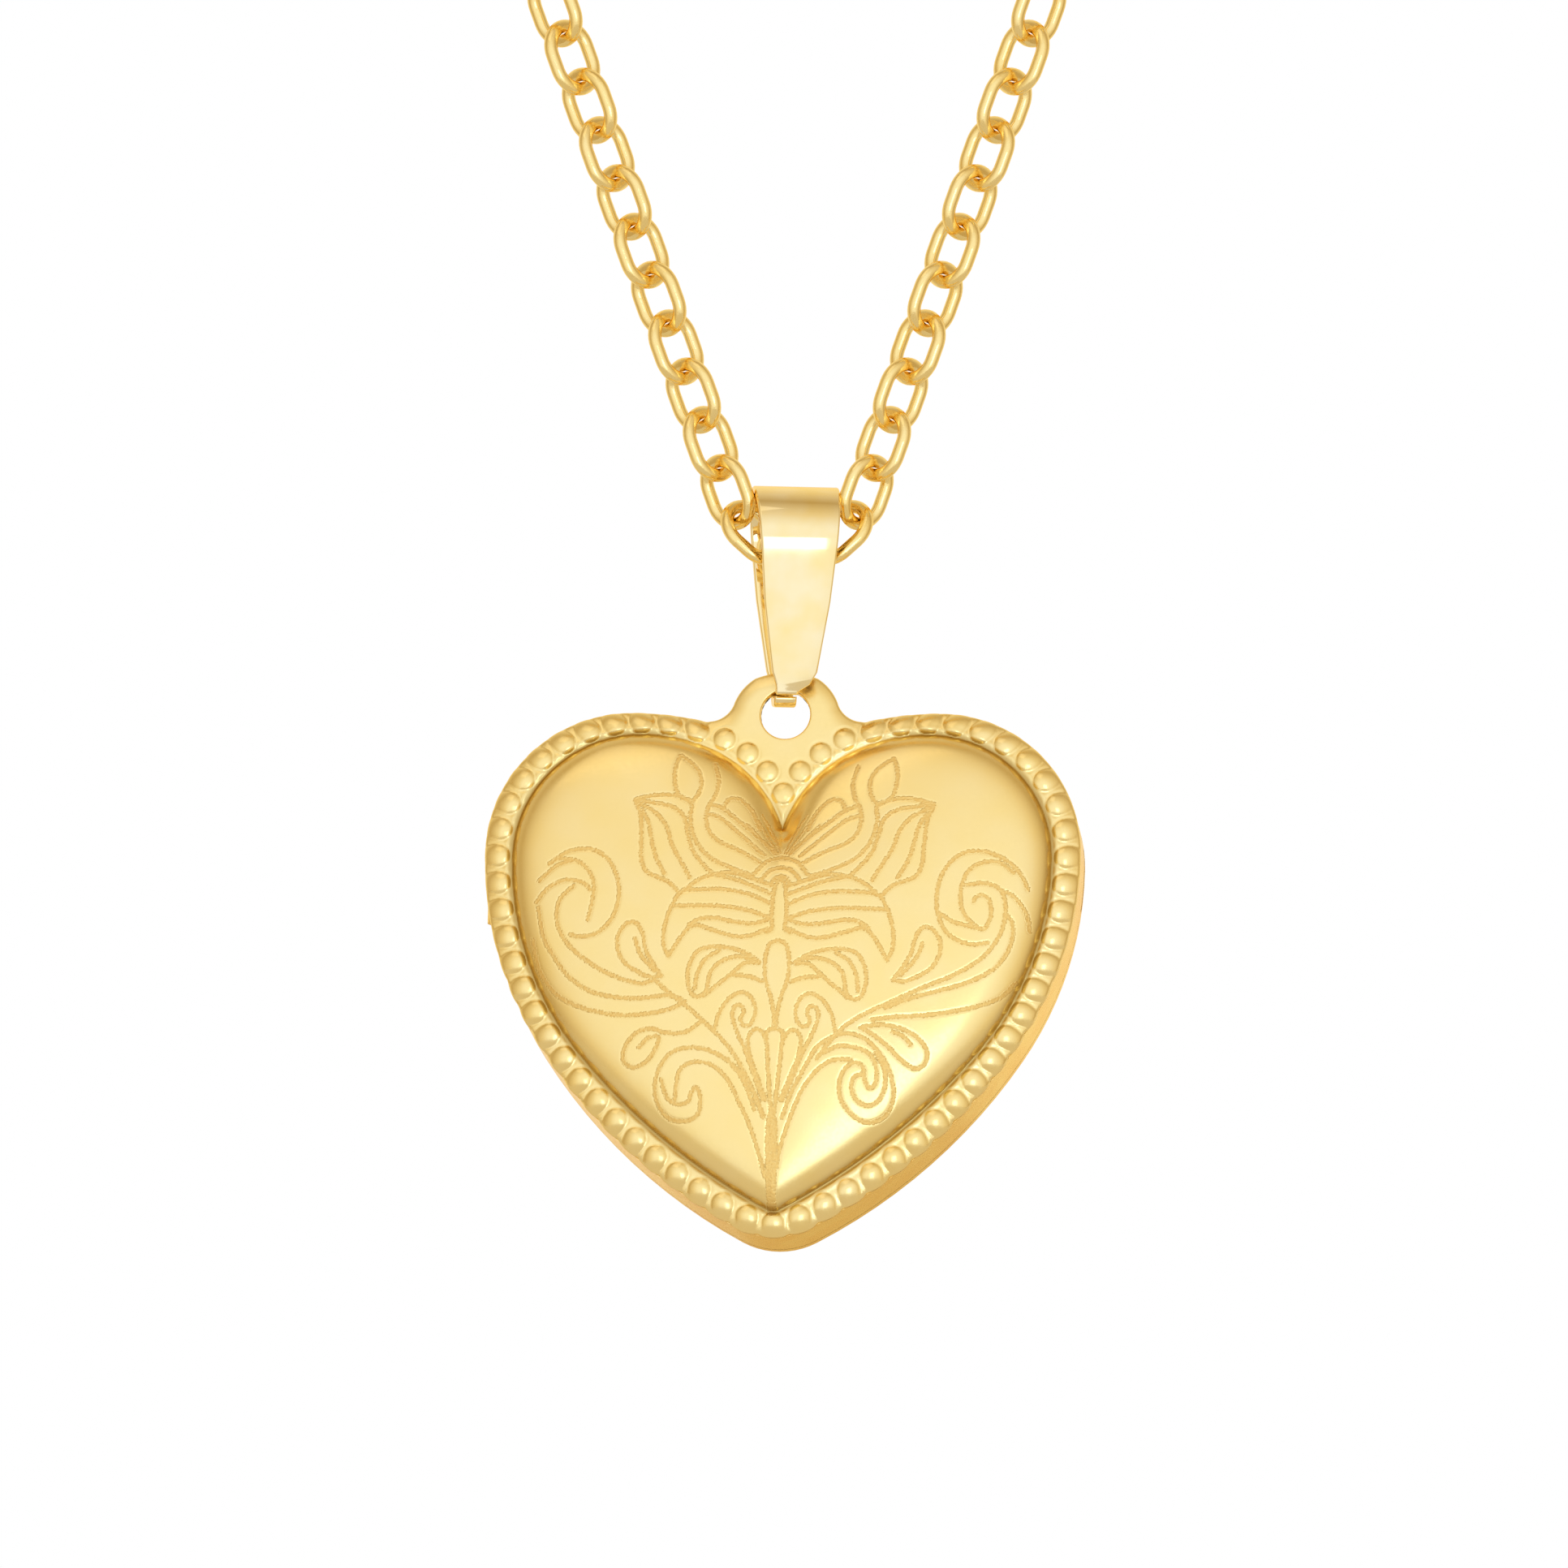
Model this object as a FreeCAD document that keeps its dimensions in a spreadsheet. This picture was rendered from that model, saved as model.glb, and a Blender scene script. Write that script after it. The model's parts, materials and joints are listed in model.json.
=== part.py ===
"""Heart locket hanging on a cable chain, built piece by piece in millimetres.

+Z is up, +X is to the right and -Y is the decorated front. The origin is midway between the two
ends of the chain, level with them: the pendant hangs below it.
The heart, the bail and the clasp each have a frame of their own, and each piece is modelled in its
frame and then placed.
"""
import FreeCAD, Part
import math
import os
import Sketcher
from FreeCAD import Placement, Rotation, Vector

X_AXIS = Vector(1, 0, 0)
Y_AXIS = Vector(0, 1, 0)
Z_AXIS = Vector(0, 0, 1)

SIZES = {
    # chain of oval links, each rolled a quarter turn from the next
    "wire_diameter": 0.55,
    "link_width": 2.05,
    "link_length": 2.69,
    "link_pitch": 2.107,
    "links_a_side": 13,
    "strand_lean": 19.7,
    "first_link_rise": 42,
    "first_link_slack": 0.08,
    "link_roll": 45,
    # rings and clasp at the two ends
    "end_slack": 0.2,
    "jump_ring_radius": 1.5,
    "jump_ring_wire": 0.3,
    "end_ring_radius": 1.9,
    "end_ring_wire": 0.3,
    "eye_radius": 1.05,
    "eye_wire": 0.3,
    "claw_reach": 5.3,
    "claw_radius": 2.6,
    "claw_opening": 1.5,
    "claw_thickness": 1.8,
    "lever_thickness": 0.8,
    "lever_pin_radius": 0.25,
    "lever_boss": 0.3,
    "gate_gap": 0.1,
    "neck_end": 3.4,
    "neck_width": 1.6,
    "neck_thickness": 1.2,
    "mouth_start": 4.1,
    "mouth_end": 7.1,
    "mouth_floor": 0.6,
    "mouth_top": 3.2,
    "slot_start": 2.3,
    "slot_end": 4.6,
    "slot_floor": -0.2,
    "slot_width": 0.88,
    "thumb_tab_width": 0.65,
    "thumb_tab_top": 3.1,
    "spring_thickness": 0.15,
    "spring_width": 0.6,
    "spring_height": 1.3,
    "running_clearance": 0.03,
    # bail: one strip folded over the chain and hooked through the lug
    "bail_sheet": 0.4,
    "bail_arch_radius": 2.0,
    "bail_leaf_slope": 10,
    "bail_strip_width": 4.2,
    "bail_leaf_end": 6.33,
    "bail_hook_radius": 0.5,
    "bail_hook_drop": 6.68,
    "bail_tip_radius": 0.25,
    "bail_tip_offset": -0.2,
    "bail_offset": 0.1,
    "bail_height": 0.38,
    "bail_turn": 6,
    "bail_roll": 1.2,
    # heart outline: arcs that turn from the top of a lobe to the tip
    "lobe_offset": 6.35,
    "lobe_top": 0.12,
    "lobe_top_radius": 13,
    "shoulder_radius": 5.92,
    "flank_radius": 14.75,
    "flank_turn": 33.2,
    "lower_radius": 23,
    "lower_turn": 28.4,
    # heart shells
    "cover_sheet": 0.4,
    "dome_inset": 1.45,
    "dome_height": 2.1,
    "lug_hole_radius": 1.0,
    "wall_inset": 0.05,
    "wall_thickness": 0.4,
    "wall_back": 2.85,
    "back_front": 2.9,
    "back_sheet": 0.4,
    "lip_inset": 0.55,
    "lip_thickness": 0.35,
    "lip_height": 0.6,
    # photo holders
    "window_thickness": 0.18,
    "holder_width": 1.0,
    "holder_thickness": 0.22,
    # hinge and catch
    "hinge_inboard": 0.3,
    "hinge_height": -6.3,
    "knuckle_radius": 0.45,
    "knuckle_length": 1.16,
    "knuckle_gap": 0.06,
    "hinge_pin_radius": 0.2,
    "knuckle_seat_width": 0.35,
    "hinge_gap_width": 0.85,
    "catch_half_width": 0.9,
    "keeper_front": 1.85,
    "keeper_back": 2.1,
    "keeper_height": 0.1,
    "tongue_front": 1.5,
    "tongue_offset": 0.27,
    "tongue_thickness": 0.18,
    "bead_back": 1.8,
    "bead_offset": 0.15,
    "thumb_notch_half": 1.3,
    # how the heart hangs
    "heart_offset": -0.48,
    "heart_hole_drop": 6.77,
    "heart_turn": 5.5,
    "heart_lean": 13,
    "heart_roll": 1.4,
}


def make_sheet(doc):
    """Driving dimensions, one a row: name, number and alias."""
    sheet = doc.addObject("Spreadsheet::Sheet", "Sizes")
    for row, (name, value) in enumerate(SIZES.items(), start=1):
        sheet.set(f"A{row}", name)
        sheet.set(f"B{row}", str(value))
        sheet.setAlias(f"B{row}", name)
    doc.recompute()
    return sheet


doc = FreeCAD.newDocument("locket")
sheet = make_sheet(doc)
nodes = []


def size(name):
    return float(getattr(sheet, name))


def bind(obj, **expressions):
    """Tie properties to the sheet: a name in angle brackets stands for its cell."""
    for prop, text in expressions.items():
        obj.setExpression(prop.replace("__", "."), text.replace("<", "Sizes.").replace(">", ""))


def keep(obj, label, placement=None):
    """Make obj a finished piece, named label, moved into the frame that it belongs to."""
    obj.Label = label
    if placement is not None:
        obj.Placement = placement.multiply(obj.Placement)
    nodes.append(obj)
    return obj


def solid_feature(label, shape, placement):
    """A piece whose outline needs arcs worked out in code."""
    feature = doc.addObject("Part::Feature", label)
    feature.Shape = shape
    return keep(feature, label, placement)


def primitive(kind, name, at=(0, 0, 0), turn=None, **expressions):
    obj = doc.addObject(kind, name)
    obj.Placement = Placement(Vector(*at), turn if turn else Rotation())
    bind(obj, **expressions)
    return obj


def box(name, low, high):
    """A box from its low to its high corner."""
    obj = doc.addObject("Part::Box", name)
    obj.Length = high[0] - low[0]
    obj.Width = high[1] - low[1]
    obj.Height = high[2] - low[2]
    obj.Placement.Base = Vector(*low)
    return obj


def fuse(name, shapes):
    obj = doc.addObject("Part::MultiFuse", name)
    obj.Shapes = shapes
    return obj


def cut(name, base, tool):
    obj = doc.addObject("Part::Cut", name)
    obj.Base = base
    obj.Tool = tool
    return obj


def origin_plane(body, role):
    return next(item for item in body.Origin.OriginFeatures if item.Role == role)


def body_sketch(body, name, role):
    sketch = body.newObject("Sketcher::SketchObject", name)
    sketch.AttachmentSupport = [(origin_plane(body, role), "")]
    sketch.MapMode = "FlatFace"
    return sketch


def add_polygon(sketch, points):
    first = sketch.GeometryCount
    total = len(points)
    for i, point in enumerate(points):
        after = points[(i + 1) % total]
        sketch.addGeometry(Part.LineSegment(Vector(*point, 0), Vector(*after, 0)))
    for i in range(total):
        sketch.addConstraint(Sketcher.Constraint("Coincident", first + i, 2, first + (i + 1) % total, 1))
    for i in range(total):
        sketch.addConstraint(Sketcher.Constraint("Block", first + i))


# ---------------------------------------------------------------- chain

def strand_points():
    """Contact points of the right-hand strand from the centre link up, as (x, z)."""
    pitch = size("link_pitch")
    rise = math.radians(size("first_link_rise"))
    lean = math.radians(90 - size("strand_lean"))
    slack = size("first_link_slack")
    points = [(pitch / 2 - slack, 0.0)]
    for number in range(int(size("links_a_side"))):
        angle, step = (rise, pitch - slack) if number == 0 else (lean, pitch)
        x, z = points[-1]
        points.append((x + step * math.cos(angle), z + step * math.sin(angle)))
    return points


def end_wire_offset():
    """How far beyond the last contact the centre of an end ring's wire lies: inside the last link."""
    link_end = (size("link_length") - size("link_pitch")) / 2
    return link_end - size("wire_diameter") / 2 - size("end_ring_wire") - size("end_slack")


STRAND = strand_points()
HANG = STRAND[-1][1] + end_wire_offset() * math.cos(math.radians(size("strand_lean")))


def link_sketches():
    """The centre line of a link and its round section, shared by every link."""
    path = doc.addObject("Sketcher::SketchObject", "LinkPath")
    radius = size("link_width") / 2
    half = (size("link_length") - size("link_width")) / 2
    quarter = math.pi / 2
    right_end = Part.Circle(Vector(half, 0, 0), Z_AXIS, radius)
    left_end = Part.Circle(Vector(-half, 0, 0), Z_AXIS, radius)
    path.addGeometry(Part.ArcOfCircle(right_end, -quarter, quarter))
    path.addGeometry(Part.LineSegment(Vector(half, radius, 0), Vector(-half, radius, 0)))
    path.addGeometry(Part.ArcOfCircle(left_end, quarter, 3 * quarter))
    path.addGeometry(Part.LineSegment(Vector(-half, -radius, 0), Vector(half, -radius, 0)))
    for edge in range(4):
        path.addConstraint(Sketcher.Constraint("Tangent", edge, 2, (edge + 1) % 4, 1))
    path.addConstraint(Sketcher.Constraint("Horizontal", 1))
    path.addConstraint(Sketcher.Constraint("Symmetric", 0, 3, 2, 3, -1, 1))
    bend = path.addConstraint(Sketcher.Constraint("Radius", 0, radius))
    path.addConstraint(Sketcher.Constraint("Equal", 0, 2))
    straight = path.addConstraint(Sketcher.Constraint("DistanceX", 1, 2, 1, 1, 2 * half))
    path.setExpression(f"Constraints[{bend}]", "Sizes.link_width / 2")
    path.setExpression(f"Constraints[{straight}]", "Sizes.link_length - Sizes.link_width")

    section = doc.addObject("Sketcher::SketchObject", "LinkSection")
    wire = size("wire_diameter") / 2
    section.addGeometry(Part.Circle(Vector(radius, 0, 0), Z_AXIS, wire))
    section.addConstraint(Sketcher.Constraint("PointOnObject", 0, 3, -1))
    across = section.addConstraint(Sketcher.Constraint("DistanceX", -1, 1, 0, 3, radius))
    round_wire = section.addConstraint(Sketcher.Constraint("Radius", 0, wire))
    section.setExpression(f"Constraints[{across}]", "Sizes.link_width / 2")
    section.setExpression(f"Constraints[{round_wire}]", "Sizes.wire_diameter / 2")
    section.Placement = Placement(Vector(), Rotation(Y_AXIS, Z_AXIS, X_AXIS, "ZXY"))
    return path, section


def chain_turn(angle, roll):
    """Local X along the chain at this angle above +X, rolled about itself."""
    return Rotation(Y_AXIS, -angle).multiply(Rotation(X_AXIS, roll))


def chain_link(label, path, section, centre, angle, roll):
    link = doc.addObject("Part::Sweep", label)
    link.Sections = [section]
    link.Spine = (path, [])
    link.Solid = True
    return keep(link, label, Placement(Vector(centre[0], 0, centre[1] - HANG), chain_turn(angle, roll)))


def strand_side(mirror, number):
    """Centre, angle and roll of one link on a side: mirror is 1 on the right and -1 on the left."""
    (x_in, z_in), (x_out, z_out) = STRAND[number - 1], STRAND[number]
    angle = math.degrees(math.atan2(z_out - z_in, mirror * (x_out - x_in)))
    roll = mirror * size("link_roll") * (-1) ** (number + 1)
    return (mirror * (x_in + x_out) / 2, (z_in + z_out) / 2), angle, roll


def chain():
    path, section = link_sketches()
    chain_link("centre_link", path, section, (0, 0), 0, -size("link_roll"))
    for side, mirror in (("left", -1), ("right", 1)):
        for number in range(1, int(size("links_a_side")) + 1):
            centre, angle, roll = strand_side(mirror, number)
            chain_link(f"{side}_link_{number:02d}", path, section, centre, angle, roll)


def end_frame(mirror, beyond, swap):
    """A frame this far beyond the end ring's wire, its X along the strand."""
    last = int(size("links_a_side"))
    _, angle, roll = strand_side(mirror, last)
    x, z = STRAND[-1]
    along = Vector(math.cos(math.radians(angle)), 0, math.sin(math.radians(angle)))
    start = Vector(mirror * x, 0, z - HANG)
    place = start + along * (end_wire_offset() + beyond)
    return Placement(place, chain_turn(angle, roll * (-1 if swap else 1)))


# ---------------------------------------------------------------- rings and clasp

def end_rings():
    """A jump ring on the left end and a larger ring, which the clasp closes on, on the right."""
    for label, mirror, radius, wire in (
        ("left_jump_ring", -1, "jump_ring_radius", "jump_ring_wire"),
        ("right_end_ring", 1, "end_ring_radius", "end_ring_wire"),
    ):
        ring = primitive("Part::Torus", label, Radius1=f"<{radius}>", Radius2=f"<{wire}>")
        keep(ring, label, end_frame(mirror, size(radius), True))


def clasp_frame():
    ring_far_side = 2 * size("jump_ring_radius")
    spacing = size("jump_ring_wire") + size("eye_wire") + size("running_clearance")
    beyond = ring_far_side - spacing + size("eye_radius")
    return end_frame(-1, beyond, False)


LEVER_HEEL = 150
LEVER_TIP = 50


def lever_pivot():
    middle = (size("claw_radius") + size("claw_opening")) / 2
    angle = math.radians(LEVER_HEEL)
    return Vector(size("claw_reach") + middle * math.cos(angle), middle * math.sin(angle), 0)


def clasp_body():
    """Eye, neck and claw, with a mouth on one side and a slot for the lever."""
    thick = size("claw_thickness") / 2
    reach = size("claw_reach")
    pivot = lever_pivot()
    disc = primitive("Part::Cylinder", "ClawDisc", (reach, 0, -thick),
                     Radius="<claw_radius>", Height="<claw_thickness>")
    opening = primitive("Part::Cylinder", "ClawOpening", (reach, 0, -thick),
                        Radius="<claw_opening>", Height="<claw_thickness>")
    eye = primitive("Part::Torus", "ClaspEye", Radius1="<eye_radius>", Radius2="<eye_wire>")
    neck_side, neck_face = size("neck_width") / 2, size("neck_thickness") / 2
    neck = box("ClaspNeck", (size("eye_radius") - 0.1, -neck_side, -neck_face),
               (size("neck_end"), neck_side, neck_face))
    top = size("mouth_top")
    mouth = box("ClawMouth", (size("mouth_start"), size("mouth_floor"), -thick),
                (size("mouth_end"), top, thick))
    slot_half = size("slot_width") / 2
    slot = box("LeverSlot", (size("slot_start"), size("slot_floor"), -slot_half),
               (size("slot_end"), top, slot_half))
    bore = primitive("Part::Cylinder", "LeverBore", (pivot.x, pivot.y, -thick),
                     Radius="<lever_pin_radius>", Height="<claw_thickness>")
    solid = fuse("ClaspSolid", [disc, neck, eye])
    waste = fuse("ClaspWaste", [opening, mouth, slot, bore])
    keep(cut("clasp_body", solid, waste), "clasp_body", clasp_frame())


def clasp_lever():
    """Curved gate from the pin to the tip of the claw, with a thumb tab over the pin."""
    half = size("lever_thickness") / 2
    reach = size("claw_reach")
    pivot = lever_pivot()
    low = Vector(reach, 0, -half)
    sweep = LEVER_HEEL - LEVER_TIP
    turn = Rotation(Z_AXIS, LEVER_TIP)
    outer = primitive("Part::Cylinder", "GateOuter", tuple(low), turn,
                      Radius="<claw_radius> - <gate_gap>", Height="<lever_thickness>")
    inner = primitive("Part::Cylinder", "GateInner", tuple(low), turn,
                      Radius="<claw_opening> + <gate_gap>", Height="<lever_thickness>")
    outer.Angle = sweep
    inner.Angle = sweep
    gate = cut("Gate", outer, inner)
    boss = primitive("Part::Cylinder", "LeverBoss", (pivot.x, pivot.y, -half),
                     Radius="<lever_pin_radius> + <lever_boss>", Height="<lever_thickness>")
    tab_end = pivot.x - size("gate_gap")
    tab = box("ThumbTab", (tab_end - size("thumb_tab_width"), pivot.y, -half),
              (tab_end, size("thumb_tab_top"), half))
    bore = primitive("Part::Cylinder", "LeverHole", (pivot.x, pivot.y, -half),
                     Radius="<lever_pin_radius> + <running_clearance>", Height="<lever_thickness>")
    solid = fuse("LeverSolid", [gate, boss, tab])
    keep(cut("clasp_lever", solid, bore), "clasp_lever", clasp_frame())


def clasp_pin():
    pivot = lever_pivot()
    pin = primitive("Part::Cylinder", "clasp_pin", (pivot.x, pivot.y, -size("claw_thickness") / 2),
                    Radius="<lever_pin_radius>", Height="<claw_thickness>")
    keep(pin, "clasp_pin", clasp_frame())


def clasp_spring():
    """Leaf spring standing in the slot behind the lever."""
    foot = Vector(size("slot_start") + 0.05, size("slot_floor"), 0)
    half = size("spring_width") / 2
    spring = box("clasp_spring", (foot.x, foot.y, -half),
                 (foot.x + size("spring_thickness"), foot.y + size("spring_height"), half))
    keep(spring, "clasp_spring", clasp_frame())


# ---------------------------------------------------------------- bail

def bail_frame():
    place = Vector(-size("bail_offset"), 0, size("bail_height") - HANG)
    turn = Rotation(Y_AXIS, size("bail_roll")).multiply(Rotation(Z_AXIS, size("bail_turn")))
    return Placement(place, turn)


def bail_path(sketch):
    """Centre line of the folded strip in the YZ plane, from the front leaf to the hook's tip."""
    slope = math.radians(size("bail_leaf_slope"))
    arch = size("bail_arch_radius")
    hook = size("bail_hook_radius")
    floor = -size("bail_hook_drop")
    side, drop = arch * math.cos(slope), -arch * math.sin(slope)
    lean = math.tan(slope)

    def leaf(z):
        return side - (drop - z) * lean

    leaf_end = -size("bail_leaf_end")
    centre_z = floor + hook
    bend = math.pi / 2 - slope
    # the back leaf meets the hook's bend where both have the leaf's slope
    meet_z = centre_z - hook * math.sin(slope)
    meet_y = leaf(meet_z)
    centre_y = meet_y - hook * math.cos(slope)
    tip_radius = size("bail_tip_radius")
    tip_centre_y = size("bail_tip_offset")
    sketch.addGeometry(Part.LineSegment(Vector(-leaf(leaf_end), leaf_end, 0), Vector(-side, drop, 0)))
    sketch.addGeometry(Part.ArcOfCircle(Part.Circle(Vector(), Z_AXIS, arch), -slope, math.pi + slope))
    sketch.addGeometry(Part.LineSegment(Vector(side, drop, 0), Vector(meet_y, meet_z, 0)))
    sketch.addGeometry(Part.ArcOfCircle(
        Part.Circle(Vector(centre_y, centre_z, 0), Z_AXIS, hook), -math.pi / 2, -math.pi / 2 + bend))
    sketch.addGeometry(Part.LineSegment(Vector(centre_y, floor, 0), Vector(tip_centre_y, floor, 0)))
    sketch.addGeometry(Part.ArcOfCircle(
        Part.Circle(Vector(tip_centre_y, floor + tip_radius, 0), Z_AXIS, tip_radius),
        -math.pi, -math.pi / 2))
    joined = ((0, 2, 1, 2), (1, 1, 2, 1), (2, 2, 3, 2), (3, 1, 4, 1), (4, 2, 5, 2))
    for constraint in joined:
        sketch.addConstraint(Sketcher.Constraint("Coincident", *constraint))
    for edge in range(6):
        sketch.addConstraint(Sketcher.Constraint("Block", edge))


BAIL_FACE = (
    (1.8, 2.4), (1.36, -2.5), (0.93, -5.4), (0.65, -5.9), (0.17, -6.2), (0.17, -7.2),
    (-0.74, -7.2), (-0.74, -6.0), (-0.93, -5.4), (-1.36, -2.5), (-1.8, 2.4),
)


def bail():
    """Strip swept along its folded centre line, then trimmed to the tapered face."""
    body = doc.addObject("PartDesign::Body", "bail_strap")
    path = body_sketch(body, "BailPath", "YZ_Plane")
    bail_path(path)
    section = body_sketch(body, "BailSection", "XZ_Plane")
    half = size("bail_strip_width") / 2
    arch = size("bail_arch_radius")
    sheet_half = size("bail_sheet") / 2
    add_polygon(section, [(-half, arch - sheet_half), (half, arch - sheet_half),
                          (half, arch + sheet_half), (-half, arch + sheet_half)])
    doc.recompute()
    pipe = body.newObject("PartDesign::AdditivePipe", "BailStrip")
    pipe.Profile = section
    pipe.Spine = (path, [])
    doc.recompute()
    full = pipe.Shape.Volume
    trim = body_sketch(body, "BailTrim", "XZ_Plane")
    outside = half + 1
    add_polygon(trim, [(-outside, 3), (outside, 3), (outside, -8), (-outside, -8)])
    add_polygon(trim, BAIL_FACE)
    pocket = body.newObject("PartDesign::Pocket", "BailTaper")
    pocket.Profile = trim
    pocket.Type = "ThroughAll"
    pocket.Midplane = True
    doc.recompute()
    if pocket.Shape.Volume > 0.9 * full:
        raise RuntimeError("the bail's taper cut nothing")
    keep(body, "bail_strap", bail_frame())


# ---------------------------------------------------------------- heart

def heart_frame():
    """Local XZ is the heart's face, with the lug's hole at the origin and the back at +Y."""
    place = Vector(size("heart_offset"), -size("cover_sheet") / 2, -size("heart_hole_drop") - HANG)
    turn = Rotation(Y_AXIS, size("heart_roll"))
    turn = turn.multiply(Rotation(X_AXIS, -size("heart_lean")))
    turn = turn.multiply(Rotation(Z_AXIS, -size("heart_turn")))
    return Placement(place, turn)


def turned(centre, radius, angle):
    """Point of a circle at an angle turned clockwise from straight up."""
    return (centre[0] + radius * math.sin(angle), centre[1] + radius * math.cos(angle))


def half_heart_arcs(inset):
    """Arcs of the right half, from the notch to the tip, as (centre, radius, first, last) angles."""
    lobe = (size("lobe_offset"), size("lobe_top"))
    top_radius = size("lobe_top_radius")
    top_centre = (lobe[0], lobe[1] - top_radius)
    notch = -math.asin(lobe[0] / (top_radius - inset))
    arcs = [(top_centre, top_radius - inset, notch, 0.0)]
    at, heading = lobe, 0.0
    turns = (
        (size("shoulder_radius"), 90.0),
        (size("flank_radius"), size("flank_turn")),
        (size("lower_radius"), size("lower_turn")),
    )
    for radius, turn in turns:
        centre = turned(at, -radius, heading)
        last = heading + math.radians(turn)
        arcs.append((centre, radius - inset, heading, last))
        at = turned(centre, radius, last)
        heading = last
    tip_radius = at[0] / math.sin(math.pi - heading)
    centre = turned(at, -tip_radius, heading)
    arcs.append(((0.0, centre[1]), tip_radius - inset, heading, math.pi))
    return arcs


def heart_wire(inset, y=0.0):
    """Closed outline at depth y, moved in from the outer edge by inset."""
    right, left = [], []
    for centre, radius, first, last in half_heart_arcs(inset):
        points = [turned(centre, radius, angle) for angle in (first, (first + last) / 2, last)]
        right.append(Part.Arc(*(Vector(x, y, z) for x, z in points)).toShape())
        left.append(Part.Arc(*(Vector(-x, y, z) for x, z in reversed(points))).toShape())
    return Part.Wire(right + left[::-1])


def heart_slab(inset, front, back):
    return Part.Face(heart_wire(inset, front)).extrude(Vector(0, back - front, 0))


def heart_ring(outer, inner, front, back):
    return heart_slab(outer, front, back).cut(heart_slab(inner, front, back))


def block(low, high):
    corner = Vector(*low)
    return Part.makeBox(high[0] - low[0], high[1] - low[1], high[2] - low[2], corner)


DOME_STEPS = ((1.0, 0.0), (0.93, 0.42), (0.82, 0.72), (0.66, 0.9), (0.42, 0.99))


def dome_loft(inset, base_y, height):
    """Dome from its foot to its crown: each step is a share of the width and of the height."""
    foot = heart_wire(inset)
    middle = Vector(0, 0, -9)
    wires = []
    for share, rise in DOME_STEPS:
        wire = foot.copy()
        matrix = FreeCAD.Matrix()
        matrix.move(-middle)
        matrix.scale(share, 1, share)
        matrix.move(middle + Vector(0, base_y - rise * height, 0))
        wires.append(wire.transformGeometry(matrix))
    return Part.makeLoft(wires, True, True)


LUG_CROWN = ((-1.3, 1.56), (0, 1.82), (1.3, 1.56))
LUG_SHOULDER = ((1.3, 1.56), (1.83, 1.07), (2.12, 0.56))
LUG_FLARE = ((2.12, 0.56), (2.44, 0.04), (3.3, -0.243))
LUG_ROOT = -2.5


def lug_arc(points, mirror=1):
    return Part.Arc(*(Vector(mirror * x, 0, z) for x, z in points)).toShape()


def lug_outline():
    """Bell-shaped lug above the notch, from one lobe over the hole to the other."""
    side, low = LUG_FLARE[-1]
    edges = [lug_arc(LUG_CROWN)]
    for mirror in (1, -1):
        edges += [lug_arc(LUG_SHOULDER, mirror), lug_arc(LUG_FLARE, mirror)]
        edges.append(Part.makeLine((mirror * side, 0, low), (mirror * side, 0, LUG_ROOT)))
    edges.append(Part.makeLine((-side, 0, LUG_ROOT), (side, 0, LUG_ROOT)))
    return Part.Wire(Part.__sortEdges__(edges))


def front_cover():
    """Stamped sheet: flange, lug with its hole and hollow dome in one."""
    sheet_thickness = size("cover_sheet")
    inset = size("dome_inset")
    height = size("dome_height")
    flange = heart_slab(0, 0, sheet_thickness)
    lug = Part.Face(lug_outline()).extrude(Vector(0, sheet_thickness, 0))
    hole = Part.makeCylinder(size("lug_hole_radius"), 2, Vector(0, -1, 0), Y_AXIS)
    solid = flange.fuse(lug).fuse(dome_loft(inset, 0.1, height + 0.1))
    hollow = dome_loft(inset + sheet_thickness, sheet_thickness + 0.1, height + 0.1)
    cover = solid.cut(hollow).cut(hole).removeSplitter()
    solid_feature("front_cover", cover.Solids[0], heart_frame())


def rim_band():
    """Side wall that carries the front cover and the hinge."""
    outer = size("wall_inset")
    band = heart_ring(outer, outer + size("wall_thickness"), size("cover_sheet"), size("wall_back"))
    solid_feature("rim_band", band.Solids[0], heart_frame())


def half_width():
    return size("lobe_offset") + size("shoulder_radius")


def hinge_span():
    return 3 * size("knuckle_length") + 2 * size("knuckle_gap")


def hinge_gap_edge():
    """Where the cover's plate ends beside the hinge."""
    return size("hinge_gap_width") - half_width()


def back_cover():
    """Flat back with an inner lip that enters the wall, cut away for the hinge and the catch."""
    front = size("back_front")
    back = front + size("back_sheet")
    lip_out = size("lip_inset")
    middle = size("hinge_height")
    edge = half_width()
    plate = heart_slab(size("wall_inset"), front, back)
    lip = heart_ring(lip_out, lip_out + size("lip_thickness"), front - size("lip_height"), front + 0.05)
    cover = plate.fuse(lip)
    reach = hinge_span() / 2 + 0.1
    hinge_gap = block((-edge - 1, front - 0.02, middle - reach),
                      (hinge_gap_edge(), back + 1, middle + reach))
    half = size("catch_half_width") + 0.1
    catch_gap = block((edge - 1.2, 1, middle - half), (edge - 0.4, front, middle + half))
    notch = size("thumb_notch_half")
    thumb = block((edge - 0.3, front - 0.1, middle - notch), (edge + 1, front + 0.2, middle + notch))
    cover = cover.cut(hinge_gap).cut(catch_gap).cut(thumb).removeSplitter()
    solid_feature("back_cover", cover.Solids[0], heart_frame())


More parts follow.
